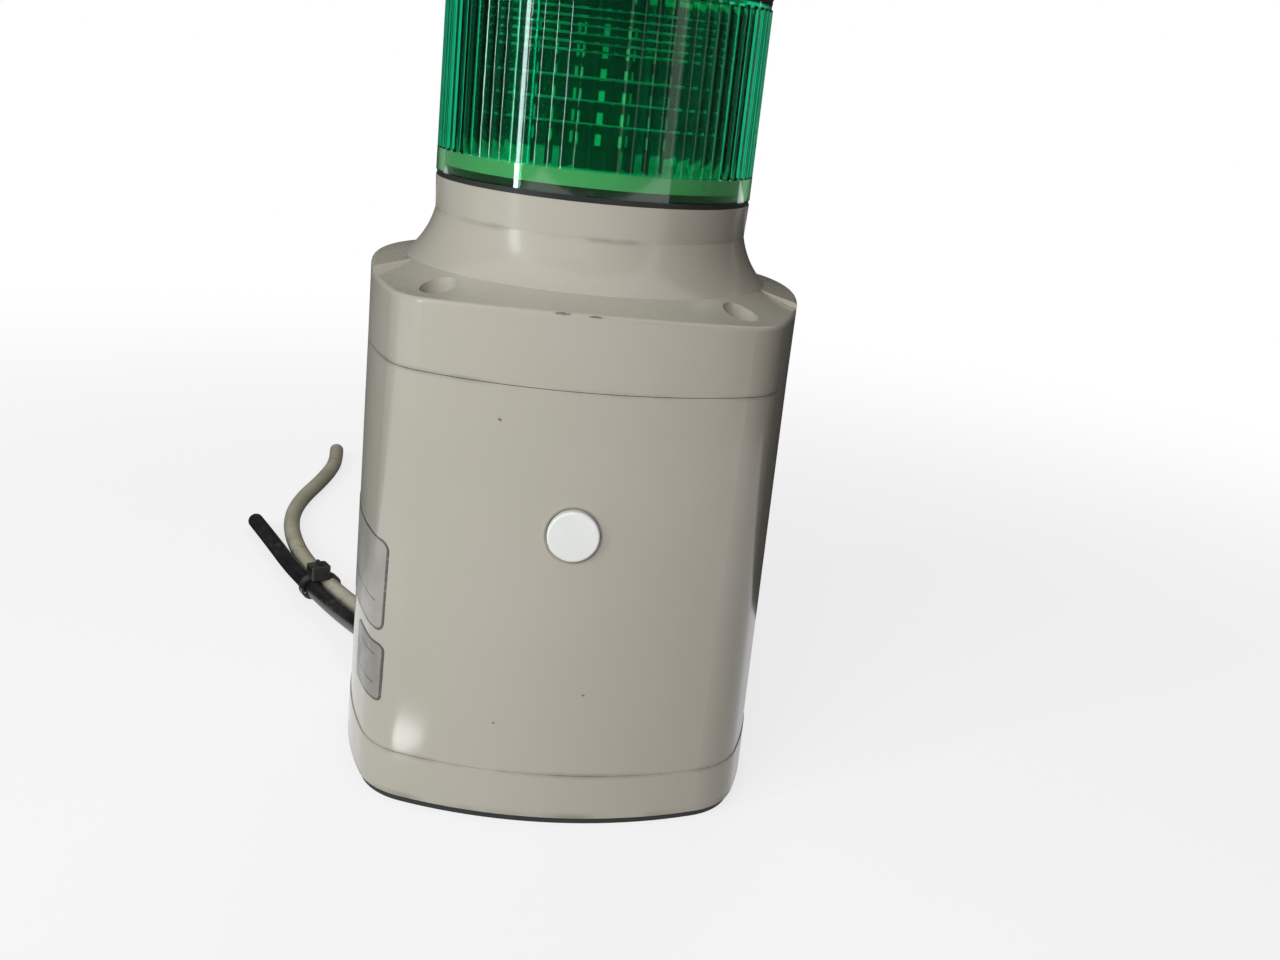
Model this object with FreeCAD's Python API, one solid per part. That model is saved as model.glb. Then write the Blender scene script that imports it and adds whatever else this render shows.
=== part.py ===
"""Signal tower on a moulded pedestal: two fluted light modules over a housing with one push button.

Millimetres, +Z up. The origin is under the middle of the gasket, on the surface the tower stands on.
The button side faces -Y.
"""
import FreeCAD, Part
import os
from math import atan2, cos, degrees, pi, radians, sin, sqrt, tan

V = FreeCAD.Vector

# Housing outline: a square with bowed sides and rounded corners
foot_half = 69.3          # middle of a side at the gasket, from the axis
base_draft = 0.2          # by which a side leans in from the gasket to the top of the base tray
body_draft = 0.7          # the same from there to the cover, whose skirt is upright
foot_bow = 136.0          # radius of the bowed sides below
cover_bow = 116.0         # the same at the cover
foot_corner = 23.0        # radius of the rounded corners below
cover_corner = 20.0       # the same at the cover
wall = 2.8
past = 1.0                # by which a cutting tool passes the faces that it cuts
hair = 0.01               # tolerance when an edge is picked by its place

# Housing heights
gasket_thickness = 2.5
gasket_inset = 1.0
floor_thickness = 3.0
base_height = 14.8
body_height = 121.9
skirt_height = 22.3       # cover, from its lower edge to the sharp edge at the middle of a side
seam_gap = 0.2            # shadow line between cover and body
base_step = 0.3           # by which the base tray stands out beyond the body

# Lips that locate the three housing mouldings on each other
lip_height = 3.2
lip_wall = 1.25
lip_clearance = 0.15
lip_space = 1.0           # between a lip and the ribs above it

# Cover: a dished roof, a flared neck and a collar
roof_fall = 3.85          # from the neck's foot to the edge at the middle of the front
roof_corner_fall = 1.4    # from there to the corners, where the roof is flatter
rear_fall = 2.3           # as the roof's fall, behind the step, where the roof stands higher
rear_corner_fall = 1.7
step_angle = 20.0         # of the step in the roof, forward of the middle of each side
roof_edge_radius = 1.3
neck_spread = 8.0         # by which the neck's foot is wider in radius than the lenses
neck_rise = 14.55
neck_hollow = 1.3         # depth of the neck's hollow curve below its chord
neck_root = 4.0           # depth of the neck's foot inside the roof
collar_draft = 0.4        # by which the collar narrows towards its foot
collar_height = 10.3
collar_deck = 3.0
collar_deck_width = 10.0  # of the deck's ring, from the collar's outside to its bore
collar_wall = 3.0

# Screws of the housing
screw_x = 44.4
screw_y = 47.9
recess_radius = 5.5
recess_depth = 15.0
boss_radius = 7.9
post_radius = 6.0
web_width = 3.0
thread_clearance = 0.05
hole_clearance = 0.25
cover_screw_radius = 2.5
cover_screw_length = 26.0
cover_screw_head_radius = 4.7
cover_screw_head = 3.4
base_screw_radius = 2.0
base_screw_length = 22.0
base_screw_head_radius = 3.9
base_screw_head = 2.6
base_screw_pocket = 3.0
pilot_spare = 2.0
driver_slot = 1.2
driver_reach = 0.62       # of the cross recess, as a share of the head's radius
driver_depth = 0.6        # the same, of the head's height

# Fixing holes in the floor
fixing_pitch = 70.0
fixing_hole_radius = 3.3

# Push button
button_height = 96.2
button_radius = 7.8
button_proud = 1.6
button_edge = 0.7
button_gap = 0.3
button_chamfer = 0.9
button_cap_depth = 8.0
button_lip = 1.8          # of the flange that keeps the button in
button_flange = 1.6
flange_play = 0.1         # between the flange and the back of the wall
guide_wall = 2.7          # round the button's flange and its gap
guide_depth = 15.0
stem_radius = 2.4
switch_plate = 2.0
switch_size = 12.0
switch_depth = 4.2
switch_corner = 1.2
switch_back = 0.8         # wall left behind the plunger
switch_pin_radius = 0.4
switch_pin_reach = 3.0
switch_pin_half = 2.5     # of the distance between the two pins
switch_pin_hole = 0.9
plunger_radius = 1.7
plunger_length = 3.5
plunger_rest = 0.5        # length of the plunger inside the switch at rest
plunger_clearance = 0.1

# Circuit board on the floor and what it carries
board_x = 54.0
board_y = 96.0
board_corner = 2.0
board_thickness = 1.6
board_lift = 12.0
pad_margin = 1.2
pad_height = 1.5
board_hole_inset_x = 5.0  # from the board's edges
board_hole_inset_y = 6.0
standoff_radius = 3.2
board_screw_radius = 1.5
board_screw_length = 9.0
board_screw_head_radius = 2.8
board_screw_head = 1.8
capacitor_radius = 8.0
capacitor_height = 26.0
capacitor_edge = 1.0
capacitor_gap = 3.0       # between the two cans
relay_x = 10.0
relay_y = 20.0
relay_height = 15.5
relay_first_x = 3.0
relay_low_y = 10.0
relay_gap = 2.0
transformer_x = 40.0      # laminated core
transformer_y = 13.5
transformer_height = 30.0
transformer_place = -26.0
coil_x = 24.0             # winding through the core
coil_y = 24.0
coil_inset = 4.0
coil_corner = 3.0
terminal_pitch = 5.5
terminal_count = 4
terminal_depth = 11.0
terminal_height = 14.0
terminal_edge = 1.0       # from the board's left edge
terminal_low_y = 12.0
terminal_step_depth = 4.0
terminal_step_height = 9.0
terminal_screw_radius = 1.9
terminal_screw_place = 7.6
terminal_wire_radius = 1.6
terminal_wire_height = 4.5
terminal_wire_depth = 6.0
buzzer_radius = 7.0
buzzer_height = 10.0
buzzer_hole_radius = 1.6
buzzer_floor = 4.0
buzzer_place = 40.0

# Light modules
module_pitch = 60.0
lens_radius = 50.0
lens_wall = 2.6
skirt_band = 6.9
top_rim = 1.6
flute_count = 72
flute_depth = 0.45
lens_deck = 2.2
lens_deck_width = 8.0     # of the deck's ring, from the lens's outside to its bore
seal_flange = 1.6
seal_inset = 0.3          # of the seal's edge, inwards from the lens
seal_height = 2.0
seal_wall = 2.8
seal_clearance = 0.3
carrier_band = 5.0
carrier_floor = 2.4
diffuser_space = 2.4      # between the sleeve and the lens round it
diffuser_wall = 1.2
diffuser_gap = 1.0        # under the lens deck
diffuser_clearance = 0.5
diffuser_mouth = 1.3      # clearance at the top of the rim it stands in
ridge_depth = 0.8
ridge_half = 0.35         # of a ridge's height
wide_ridge_drop = 38.7    # lowest of the widely spaced ridges, below the module's upper face
wide_ridge_pitch = 6.3
wide_ridge_count = 3
close_ridge_drop = 19.1   # the same for the closely spaced ones
close_ridge_pitch = 2.27
close_ridge_count = 6
post_across = 27.0
led_rows = 6
led_first = 9.0           # lowest row, above the module's floor
led_pitch = 6.4
led_size = 3.4
led_height = 1.0

# Clamping of the tower
rod_radius = 4.0
rod_clearance = 0.3
tower_plate = 4.0
tower_plate_gap = 0.3
hub_radius = 13.0
port_radius = 5.0         # for the wires of the modules
port_place = 24.0
port_count = 4
nut_flank = 5.0           # by which the nuts are wider across flats than the rod
nut_height = 6.5
rod_spare = 3.0

# Head cap
cap_side = 8.0
cap_rise = 9.0
cap_wall = 2.6
cap_edge_radius = 4.0
cap_inner_side = 4.8      # upright part of the cavity, clear of the seal
cap_inner_rise = 5.2
cap_recess_radius = 12.0
cap_recess_depth = 7.5
cap_recess_wall = 3.0
cap_hub_radius = 9.0
cap_nut_hex = 0.7         # share of the domed nut's height that is six-sided
cap_nut_dome = 0.92       # diameter of its dome against the size across flats
cap_nut_edge = 1.6
rod_short = 1.5           # rod end below the top of the domed nut

# Cables: two sheathed cables leave through the base wall near its back left corner
white_radius = 3.7
black_radius = 3.5
exit_inset = 5.7          # of the exit line's middle, inwards from the side of the foot
exit_y = 40.5
exit_heading = 119.0      # degrees from +X
exit_rise = 0.3           # of the notch's lower edge above the floor
cable_space = 2.4         # between the two sheaths where they leave
grommet_rise = 1.1        # rubber above and below the thicker cable
grommet_lip = 1.6
grommet_skin = 1.3
grommet_flange = 1.4
grommet_reach = 16.0      # half the length of the skewed notch, more than the wall needs
grommet_clearance = 0.05
cable_clearance = 0.1
clamp_back = 36.0         # clamp bar, back from the exit along the cables
clamp_width = 8.0
clamp_ear = 8.0
clamp_gap = 0.8
clamp_cover = 2.4
clamp_screw_radius = 1.6
clamp_screw_head_radius = 3.0
clamp_screw_head = 2.0
clamp_screw_length = 9.0
clamp_hole_depth = 1.5    # into the floor, below the saddle
tie_away_x = 32.15        # from the exit to the middle of the tied run, between the two cables
tie_away_y = 56.9
tie_heading = 120.4
tie_lift = 0.2            # of the tie above the surface
tie_space = 0.3           # between the two sheaths in the tie
tie_run = 17.4
tie_width = 3.6
tie_thickness = 1.15
tie_clearance = 0.1
tie_head_across = 8.2
tie_head_along = 7.4
tie_head_height = 4.6
tie_head_corner = 1.0
tie_head_aside = -0.8     # from the middle between the cables
tie_tail = 1.8            # stub of the cut tail above the head
tie_tail_thickness = 1.2

# Places and sizes that follow from the ones above
seam_half = foot_half - base_draft
cover_half = seam_half - body_draft
web_reach = foot_half / 2.0      # of a rib before it is trimmed, longer than from a post to the wall
collar_radius = lens_radius
collar_foot_radius = collar_radius - collar_draft
collar_deck_bore = collar_radius - collar_deck_width
neck_foot_radius = lens_radius + neck_spread
button_flange_radius = button_radius + button_lip
guide_radius = button_flange_radius + button_gap + guide_wall
board_hole_x = board_x / 2.0 - board_hole_inset_x
board_hole_y = board_y / 2.0 - board_hole_inset_y
capacitor_half = capacitor_radius + capacitor_gap / 2.0
lens_deck_bore = lens_radius - lens_deck_width
diffuser_radius = lens_radius - lens_wall - diffuser_space
wide_ridge_first = module_pitch - wide_ridge_drop
close_ridge_first = module_pitch - close_ridge_drop
nut_across = 2.0 * rod_radius + nut_flank
exit_x = exit_inset - foot_half
tie_x = exit_x - tie_away_x
tie_y = exit_y + tie_away_y
cable_spacing = white_radius + black_radius + cable_space
grommet_height = 2.0 * (white_radius + grommet_rise)
tie_pitch = white_radius + black_radius + tie_space
tie_height = white_radius + tie_clearance + tie_thickness + tie_lift
z_base = gasket_thickness
z_floor = z_base + floor_thickness
z_seam = z_base + base_height
z_cover = z_seam + body_height
z_edge = z_cover + skirt_height
z_neck = z_edge + roof_fall
z_collar = z_neck + neck_rise
z_tower = z_collar + collar_height
z_recess = z_edge - recess_depth
z_board = z_floor + board_lift
exit_height = z_floor + grommet_height / 2.0 + exit_rise


def polar(radius, angle, z=0.0):
    return V(radius * cos(angle), radius * sin(angle), z)


def section(z):
    """Half width, bow radius and corner radius of the housing at a height."""
    if z <= z_seam:
        share = max(0.0, (z - z_base) / base_height)
        return foot_half + (seam_half - foot_half) * share, foot_bow, foot_corner
    share = min(1.0, (z - z_seam) / body_height)
    return (seam_half + (cover_half - seam_half) * share,
            foot_bow + (cover_bow - foot_bow) * share,
            foot_corner + (cover_corner - foot_corner) * share)


front_y = -section(button_height)[0]


def corner_place(half, side_bow, corner_radius):
    """Distance of a corner's centre from both mid planes of the housing."""
    reach = side_bow - half
    span = side_bow - corner_radius
    return (sqrt(2.0 * span ** 2 - reach ** 2) - reach) / 2.0


def outline(z, inset=0.0, level=None):
    """Closed outline of the housing at one height, drawn as eight tangent arcs."""
    half, side_bow, corner_radius = section(z if level is None else level)
    reach = side_bow - half
    corner = corner_place(half, side_bow, corner_radius)
    turn = atan2(corner, corner + reach)
    bow = side_bow - inset
    round_radius = corner_radius - inset
    edges = []
    for quarter in range(4):
        heading = quarter * pi / 2.0
        side_centre = polar(-reach, heading, z)
        start = side_centre + polar(bow, heading - turn)
        middle = side_centre + polar(bow, heading)
        end = side_centre + polar(bow, heading + turn)
        edges.append(Part.Arc(start, middle, end).toShape())
        corner_centre = polar(corner * sqrt(2.0), heading + pi / 4.0, z)
        round_middle = corner_centre + polar(round_radius, heading + pi / 4.0)
        round_end = corner_centre + polar(round_radius, heading + pi / 2.0 - turn)
        edges.append(Part.Arc(end, round_middle, round_end).toShape())
    return Part.Wire(edges)


def sides(z_low, z_high, inset=0.0):
    """Solid between two housing outlines, so that its sides have the moulding's draft."""
    return Part.makeLoft([outline(z_low, inset), outline(z_high, inset)], True, True)


def straight(z_low, z_high, inset=0.0, level=0.0):
    """Solid with upright sides, on the outline that the housing has at one level."""
    face = Part.Face(outline(z_low, inset, level))
    return face.extrude(V(0, 0, z_high - z_low))


def rod(radius, x, y, z_low, z_high):
    return Part.makeCylinder(radius, z_high - z_low, V(x, y, z_low))


def lying_rod(radius, y_low, y_high, x=0.0, z=0.0):
    return Part.makeCylinder(radius, y_high - y_low, V(x, y_low, z), V(0, 1, 0))


def box(x_low, x_high, y_low, y_high, z_low, z_high):
    return Part.makeBox(x_high - x_low, y_high - y_low, z_high - z_low, V(x_low, y_low, z_low))


def line(start, end):
    return Part.LineSegment(start, end).toShape()


def turned(points):
    """Solid of revolution about +Z from (radius, height) corners."""
    corners = [V(radius, 0, z) for radius, z in points]
    face = Part.Face(Part.makePolygon(corners + corners[:1]))
    return face.revolve(V(0, 0, 0), V(0, 0, 1), 360)


def hexagon(across, z_low, z_high, turn=0.0):
    """Hexagonal prism about +Z, sized across its flats."""
    reach = across / 2.0 / cos(pi / 6.0)
    corners = [polar(reach, i * pi / 3.0 + turn, z_low) for i in range(6)]
    face = Part.Face(Part.makePolygon(corners + corners[:1]))
    return face.extrude(V(0, 0, z_high - z_low))


def fuse(shapes):
    """One clean solid from shapes that meet."""
    whole = shapes[0].fuse(shapes[1:]) if len(shapes) > 1 else shapes[0]
    return whole.removeSplitter()


def cut(shape, tools):
    return shape.cut(tools).removeSplitter()


def single(shape):
    """The shape's only solid, without the compound a boolean leaves round it."""
    if len(shape.Solids) != 1:
        raise ValueError("expected one solid, found %d" % len(shape.Solids))
    return shape.Solids[0]


def screw_places():
    return [(sx * screw_x, sy * screw_y) for sx in (-1, 1) for sy in (-1, 1)]


def fixing_places():
    half = fixing_pitch / 2.0
    return [(sx * half, sy * half) for sx in (-1, 1) for sy in (-1, 1)]


def board_places():
    return [(sx * board_hole_x, sy * board_hole_y) for sx in (-1, 1) for sy in (-1, 1)]


def beside(x, y, heading, forward, aside, z):
    """Point near (x, y): forward goes along the heading, aside to the right of it."""
    turn = radians(heading)
    return V(x + forward * cos(turn) + aside * sin(turn), y + forward * sin(turn) - aside * cos(turn), z)


def along_exit(forward, aside=0.0, z=0.0):
    """Point on the line by which the cables leave the housing."""
    return beside(exit_x, exit_y, exit_heading, forward, aside, z)


def along_tie(forward, aside=0.0, z=0.0):
    """Point on the straight run that the cable tie holds."""
    return beside(tie_x, tie_y, tie_heading, forward, aside, z)


def away(left, behind, z):
    """Point to the left of the exit and behind it."""
    return V(exit_x - left, exit_y + behind, z)


def bar(x, y, heading, back, front, aside_low, aside_high, z_low, z_high):
    """Straight bar along a heading; its limits are measured from (x, y)."""
    solid = Part.makeBox(front - back, aside_high - aside_low, z_high - z_low, V(back, -aside_high, z_low))
    solid.rotate(V(0, 0, 0), V(0, 0, 1), heading)
    solid.translate(V(x, y, 0))
    return solid


def exit_bar(width, height, back, front):
    """Bar along the exit line, centred on the cables."""
    half = width / 2.0
    return bar(exit_x, exit_y, exit_heading, back, front, -half, half,
               exit_height - height / 2.0, exit_height + height / 2.0)


def cable_bores(clearance, back, front):
    """Two rods on the cables' axes along the exit line, a clearance larger than the cables."""
    ahead = along_exit(1.0) - along_exit(0.0)
    sheaths = ((-cable_spacing / 2.0, black_radius), (cable_spacing / 2.0, white_radius))
    return [Part.makeCylinder(radius + clearance, front - back, along_exit(back, aside, exit_height), ahead)
            for aside, radius in sheaths]


def clamp_bar(z_low, z_high):
    half = cable_spacing / 2.0 + white_radius + clamp_ear
    middle = -clamp_back
    return bar(exit_x, exit_y, exit_heading, middle - clamp_width / 2.0, middle + clamp_width / 2.0,
               -half, half, z_low, z_high)


def clamp_places():
    reach = cable_spacing / 2.0 + white_radius + clamp_ear / 2.0
    return [along_exit(-clamp_back, side * reach) for side in (-1, 1)]


def base_gasket():
    sheet = straight(0.0, gasket_thickness, gasket_inset, z_base)
    holes = [rod(fixing_hole_radius, x, y, -past, gasket_thickness + past) for x, y in fixing_places()]
    return cut(sheet, holes)


def post_web(x, y, z_low, z_high):
    """Rib that ties a screw post to the nearest corner of the wall."""
    web = Part.makeBox(web_reach, web_width, z_high - z_low, V(0, -web_width / 2.0, z_low))
    web.rotate(V(0, 0, 0), V(0, 0, 1), degrees(atan2(y, x)))
    web.translate(V(x, y, 0))
    return web


def base_plate():
    """Tray with a floor, a ring wall, four posts and the notch for the cables."""
    outer = sides(z_base, z_seam, -base_step)
    lip = sides(z_seam, z_seam + lip_height, wall - lip_wall)
    hollow = sides(z_floor, z_seam + lip_height + past, wall)
    posts = [rod(post_radius, x, y, z_floor, z_seam) for x, y in screw_places()]
    pads = [rod(standoff_radius + pad_margin, x, y, z_floor, z_floor + pad_height) for x, y in board_places()]
    saddle = clamp_bar(z_floor, exit_height - clamp_gap / 2.0)
    tray = fuse([cut(fuse([outer, lip]), [hollow])] + posts + pads + [saddle])
    tools = cable_bores(cable_clearance, -clamp_back - clamp_width, -clamp_back + clamp_width)
    clamp_bore = clamp_screw_radius + thread_clearance
    for place in clamp_places():
        tools.append(rod(clamp_bore, place.x, place.y, z_floor - clamp_hole_depth, z_cover))
    for x, y in screw_places():
        tools.append(rod(base_screw_radius + hole_clearance, x, y, 0.0, z_seam + past))
        pocket_top = z_base + base_screw_pocket + base_screw_head
        tools.append(rod(base_screw_head_radius + hole_clearance, x, y, 0.0, pocket_top))
    for x, y in fixing_places():
        tools.append(rod(fixing_hole_radius, x, y, 0.0, z_floor + past))
    board_bore = board_screw_radius + thread_clearance
    for x, y in board_places():
        tools.append(rod(board_bore, x, y, z_floor - past, z_floor + pad_height + past))
    tools.append(exit_bar(grommet_width(), grommet_height, -grommet_reach, grommet_reach))
    return single(cut(tray, tools))


def body_shell():
    """Drafted tube with four screw posts and the collar that guides the button."""
    outer = sides(z_seam, z_cover)
    lip = sides(z_cover, z_cover + lip_height, wall - lip_wall)
    hollow = sides(z_seam - past, z_cover + lip_height + past, wall)
    rebate = sides(z_seam - past, z_seam + lip_height + lip_clearance, wall - lip_wall - lip_clearance)
    tube = cut(fuse([outer, lip]), [hollow, rebate])
    posts = []
    limit = sides(z_seam, z_cover, wall / 2.0)
    for x, y in screw_places():
        posts.append(rod(post_radius, x, y, z_seam, z_cover))
        web = post_web(x, y, z_seam + lip_height + lip_space, z_cover)
        posts.append(web.common(limit))
    collar_end = front_y + wall / 2.0 + guide_depth
    collar = lying_rod(guide_radius, front_y - past, collar_end, 0.0, button_height)
    collar = collar.common(sides(z_seam, z_cover, wall / 2.0))
    shell = fuse([tube] + posts + [collar])
    tools = []
    for x, y in screw_places():
        cover_pilot = cover_screw_radius + thread_clearance
        depth = z_recess - cover_screw_length - pilot_spare
        tools.append(rod(cover_pilot, x, y, depth, z_cover + past))
        base_pilot = base_screw_radius + thread_clearance
        top = z_base + base_screw_pocket + base_screw_head + base_screw_length + pilot_spare
        tools.append(rod(base_pilot, x, y, z_seam - past, top))
    bore = button_radius + button_gap
    tools.append(lying_rod(bore, front_y - past, collar_end + past, 0.0, button_height))
    chamfer = Part.makeCone(bore + button_chamfer + past, bore, button_chamfer + past,
                            V(0, front_y - past, button_height), V(0, 1, 0))
    tools.append(chamfer)
    counterbore = button_flange_radius + button_gap
    tools.append(lying_rod(counterbore, front_y + wall, collar_end + past, 0.0, button_height))
    return single(cut(shell, tools))


def roof(fall, corner_fall, drop=0.0):
    """Everything under a dished roof, or under the same roof lowered by a wall."""
    corner = corner_place(cover_half, cover_bow, cover_corner) * sqrt(2.0) + cover_corner
    low = z_cover - skirt_height
    foot = V(neck_foot_radius, 0, z_neck - drop)
    edge = V(cover_half, 0, foot.z - fall)
    outer = V(corner + past, 0, edge.z - corner_fall)
    axis_low = V(0, 0, low)
    axis_high = V(0, 0, foot.z)
    edges = [line(axis_low, V(outer.x, 0, low)),
             line(V(outer.x, 0, low), outer),
             Part.Arc(outer, edge, foot).toShape(),
             line(foot, axis_high),
             line(axis_high, axis_low)]
    return Part.Face(Part.Wire(edges)).revolve(V(0, 0, 0), V(0, 0, 1), 360)


def front_roof(drop=0.0):
    return roof(roof_fall, roof_corner_fall, drop)


def behind_step():
    """Block over the part of the cover behind the step in its roof."""
    reach = 2.0 * cover_half
    turn = radians(step_angle)
    corners = [V(0, 0, z_cover), polar(reach, -turn, z_cover), V(reach, reach, z_cover),
               V(-reach, reach, z_cover), polar(reach, pi + turn, z_cover)]
    face = Part.Face(Part.makePolygon(corners + corners[:1]))
    return face.extrude(V(0, 0, skirt_height + roof_fall))


def roofed(skirt, under):
    """The cover's skirt under one of its roofs, with the edge between them rounded."""
    shell = skirt.common(under)
    rim = [edge for edge in shell.Edges if is_roof_edge(edge)]
    return shell.makeFillet(roof_edge_radius, rim)


def neck(inset=0.0, z_low=0.0, z_high=0.0):
    """Flared neck and collar as one turned solid, with its hollow curve as an arc."""
    foot = V(neck_foot_radius - inset, 0, z_neck)
    crease = V(collar_foot_radius - inset, 0, z_collar)
    top = V(collar_radius - inset, 0, z_high)
    chord = crease - foot
    normal = V(-chord.z, 0, chord.x)
    normal.normalize()
    middle = (foot + crease) * 0.5 - normal * (-neck_hollow)
    axis_low = V(0, 0, z_low)
    axis_high = V(0, 0, z_high)
    edges = [line(axis_low, V(foot.x, 0, z_low)),
             line(V(foot.x, 0, z_low), foot),
             Part.Arc(foot, middle, crease).toShape(),
             line(crease, top),
             line(top, axis_high),
             line(axis_high, axis_low)]
    return Part.Face(Part.Wire(edges)).revolve(V(0, 0, 0), V(0, 0, 1), 360)


def top_cover():
    """Cover moulding: skirt, dished roof with a step at each side, flared neck and collar."""
    low = z_cover + seam_gap
    skirt = straight(low, z_neck + past, 0.0, z_cover)
    front = roofed(skirt, front_roof())
    rear = roofed(skirt, roof(rear_fall, rear_corner_fall)).common(behind_step())
    outside = fuse([front, rear, neck(0.0, z_neck - neck_root, z_tower)])
    inner = straight(low - past, z_neck + past, wall, z_cover).common(front_roof(wall))
    rebate = straight(low - past, z_cover + lip_height + lip_clearance,
                      wall - lip_wall - lip_clearance, z_cover)
    throat = neck(collar_wall, z_neck - neck_root - wall, z_tower - collar_deck)
    eye = rod(collar_deck_bore, 0, 0, z_tower - collar_deck - past, z_tower + past)
    hollow = cut(outside, [inner, rebate, throat, eye])
    bosses = []
    limit = skirt.common(front_roof(wall / 2.0))
    boss_low = z_cover + lip_height + lip_space
    for x, y in screw_places():
        bosses.append(rod(boss_radius, x, y, boss_low, z_neck).common(limit))
        bosses.append(rod(post_radius, x, y, z_cover, boss_low + past))
    cover = fuse([hollow] + bosses)
    tools = []
    for x, y in screw_places():
        tools.append(rod(recess_radius, x, y, z_recess, z_neck + past))
        tools.append(rod(cover_screw_radius + hole_clearance, x, y, z_cover - past, z_recess + past))
    return single(cut(cover, tools))


def is_roof_edge(edge):
    """True for the sharp edges where the roof meets the cover's sides."""
    middle = edge.valueAt((edge.FirstParameter + edge.LastParameter) / 2.0)
    away = sqrt(middle.x ** 2 + middle.y ** 2)
    steep = abs(edge.tangentAt(edge.FirstParameter).z) > 0.8
    return away > neck_foot_radius + past and middle.z > z_cover + skirt_height / 2.0 and not steep


def screw(x, y, seat, head_radius, head, radius, length, up):
    """Pan-head screw with a cross recess: its head rests on the seat, its shank runs down or up."""
    sign = -1.0 if up else 1.0
    ends = sorted([seat, seat + sign * head])
    shank_ends = sorted([seat, seat - sign * length])
    solid = fuse([rod(head_radius, x, y, ends[0], ends[1]), rod(radius, x, y, shank_ends[0], shank_ends[1])])
    face = seat + sign * head
    low = min(face, face - sign * head * driver_depth)
    high = max(face, face - sign * head * driver_depth)
    reach = head_radius * driver_reach
    half = driver_slot / 2.0
    cross = [box(x - reach, x + reach, y - half, y + half, low, high),
             box(x - half, x + half, y - reach, y + reach, low, high)]
    return single(cut(solid, cross))


def cover_screws():
    return [screw(x, y, z_recess, cover_screw_head_radius, cover_screw_head,
                  cover_screw_radius, cover_screw_length, False) for x, y in screw_places()]


def base_screws():
    seat = z_base + base_screw_pocket + base_screw_head
    return [screw(x, y, seat, base_screw_head_radius, base_screw_head,
                  base_screw_radius, base_screw_length, True) for x, y in screw_places()]


def collar_back():
    return front_y + wall / 2.0 + guide_depth


def switch_front():
    return collar_back() - switch_depth


def plunger_front():
    return switch_front() - plunger_length + plunger_rest


def button_cap():
    """Push button: a domed-edge cap, a flange that keeps it in, and a stem for the switch."""
    face = front_y - button_proud
    back = front_y + button_cap_depth
    body = lying_rod(button_radius, face, back, 0.0, button_height)
    rim = [edge for edge in body.Edges if abs(edge.CenterOfMass.y - face) < hair]
    body = body.makeFillet(button_edge, rim)
    flange_front = front_y + wall + flange_play
    flange = lying_rod(button_flange_radius, flange_front, flange_front + button_flange, 0.0, button_height)
    stem = lying_rod(stem_radius, back, plunger_front(), 0.0, button_height)
    return single(fuse([body, flange, stem]))


def pin_rods(radius, front, back):
    """Two rods on the axes of the switch's pins."""
    return [lying_rod(radius, front, back, side * switch_pin_half, button_height) for side in (-1, 1)]


def button_plate():
    """Plate that closes the button's collar and carries the switch."""
    back = collar_back()
    plate = lying_rod(guide_radius, back, back + switch_plate, 0.0, button_height)
    return single(cut(plate, pin_rods(switch_pin_hole, back - past, back + switch_plate + past)))


def button_switch():
    """Small square switch with a bore for its sprung plunger and two pins at the back."""
    front = switch_front()
    back = collar_back()
    half = switch_size / 2.0
    case = box(-half, half, front, back, button_height - half, button_height + half)
    corners = [edge for edge in case.Edges if abs(edge.tangentAt(edge.FirstParameter).y) > 0.9]
    case = case.makeFillet(switch_corner, corners)
    pins = pin_rods(switch_pin_radius, back, back + switch_plate + switch_pin_reach)
    bore = lying_rod(plunger_radius + plunger_clearance, front - past, back - switch_back, 0.0, button_height)
    return single(cut(fuse([case] + pins), [bore]))


def switch_plunger():
    front = plunger_front()
    return lying_rod(plunger_radius, front, front + plunger_length, 0.0, button_height)


def upright_edges(shape):
    return [edge for edge in shape.Edges if abs(edge.tangentAt(edge.FirstParameter).z) > 0.9]


def control_board():
    half_x = board_x / 2.0
    half_y = board_y / 2.0
    top = z_board + board_thickness
    board = box(-half_x, half_x, -half_y, half_y, z_board, top)
    board = board.makeFillet(board_corner, upright_edges(board))
    bore = board_screw_radius + hole_clearance
    holes = [rod(bore, x, y, z_board - past, top + past) for x, y in board_places()]
    return single(cut(board, holes))


def board_standoffs():
    bottom = z_floor + pad_height
    bore = board_screw_radius + thread_clearance
    posts = []
    for x, y in board_places():
        post = rod(standoff_radius, x, y, bottom, z_board)
        posts.append(single(cut(post, [rod(bore, x, y, bottom - past, z_board + past)])))
    return posts


def board_screws():
    seat = z_board + board_thickness
    return [screw(x, y, seat, board_screw_head_radius, board_screw_head, board_screw_radius,
                  board_screw_length, False) for x, y in board_places()]


def capacitors():
    """Two upright cans with rounded tops."""
    cans = []
    low = z_board + board_thickness
    high = low + capacitor_height
    for side in (-1, 1):
        can = rod(capacitor_radius, side * capacitor_half, 0.0, low, high)
        top = [edge for edge in can.Edges if abs(edge.CenterOfMass.z - high) < hair]
        cans.append(can.makeFillet(capacitor_edge, top))
    return cans


def relays():
    low = z_board + board_thickness
    cases = []
    for i in range(2):
        x = relay_first_x + i * (relay_x + relay_gap)
        cases.append(box(x, x + relay_x, relay_low_y, relay_low_y + relay_y, low, low + relay_height))
    return cases


def transformer():
    """Power transformer: a laminated core round its winding."""
    low = z_board + board_thickness
    high = low + transformer_height
    half_x = transformer_x / 2.0
    half_y = transformer_y / 2.0
    core = box(-half_x, half_x, -half_y, half_y, low, high)
    half_x = coil_x / 2.0
    half_y = coil_y / 2.0
    coil = box(-half_x, half_x, -half_y, half_y, low + coil_inset, high - coil_inset)
    both = fuse([core, coil.makeFillet(coil_corner, upright_edges(coil))])
    both.translate(V(0, transformer_place, 0))
    return single(both)


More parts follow.
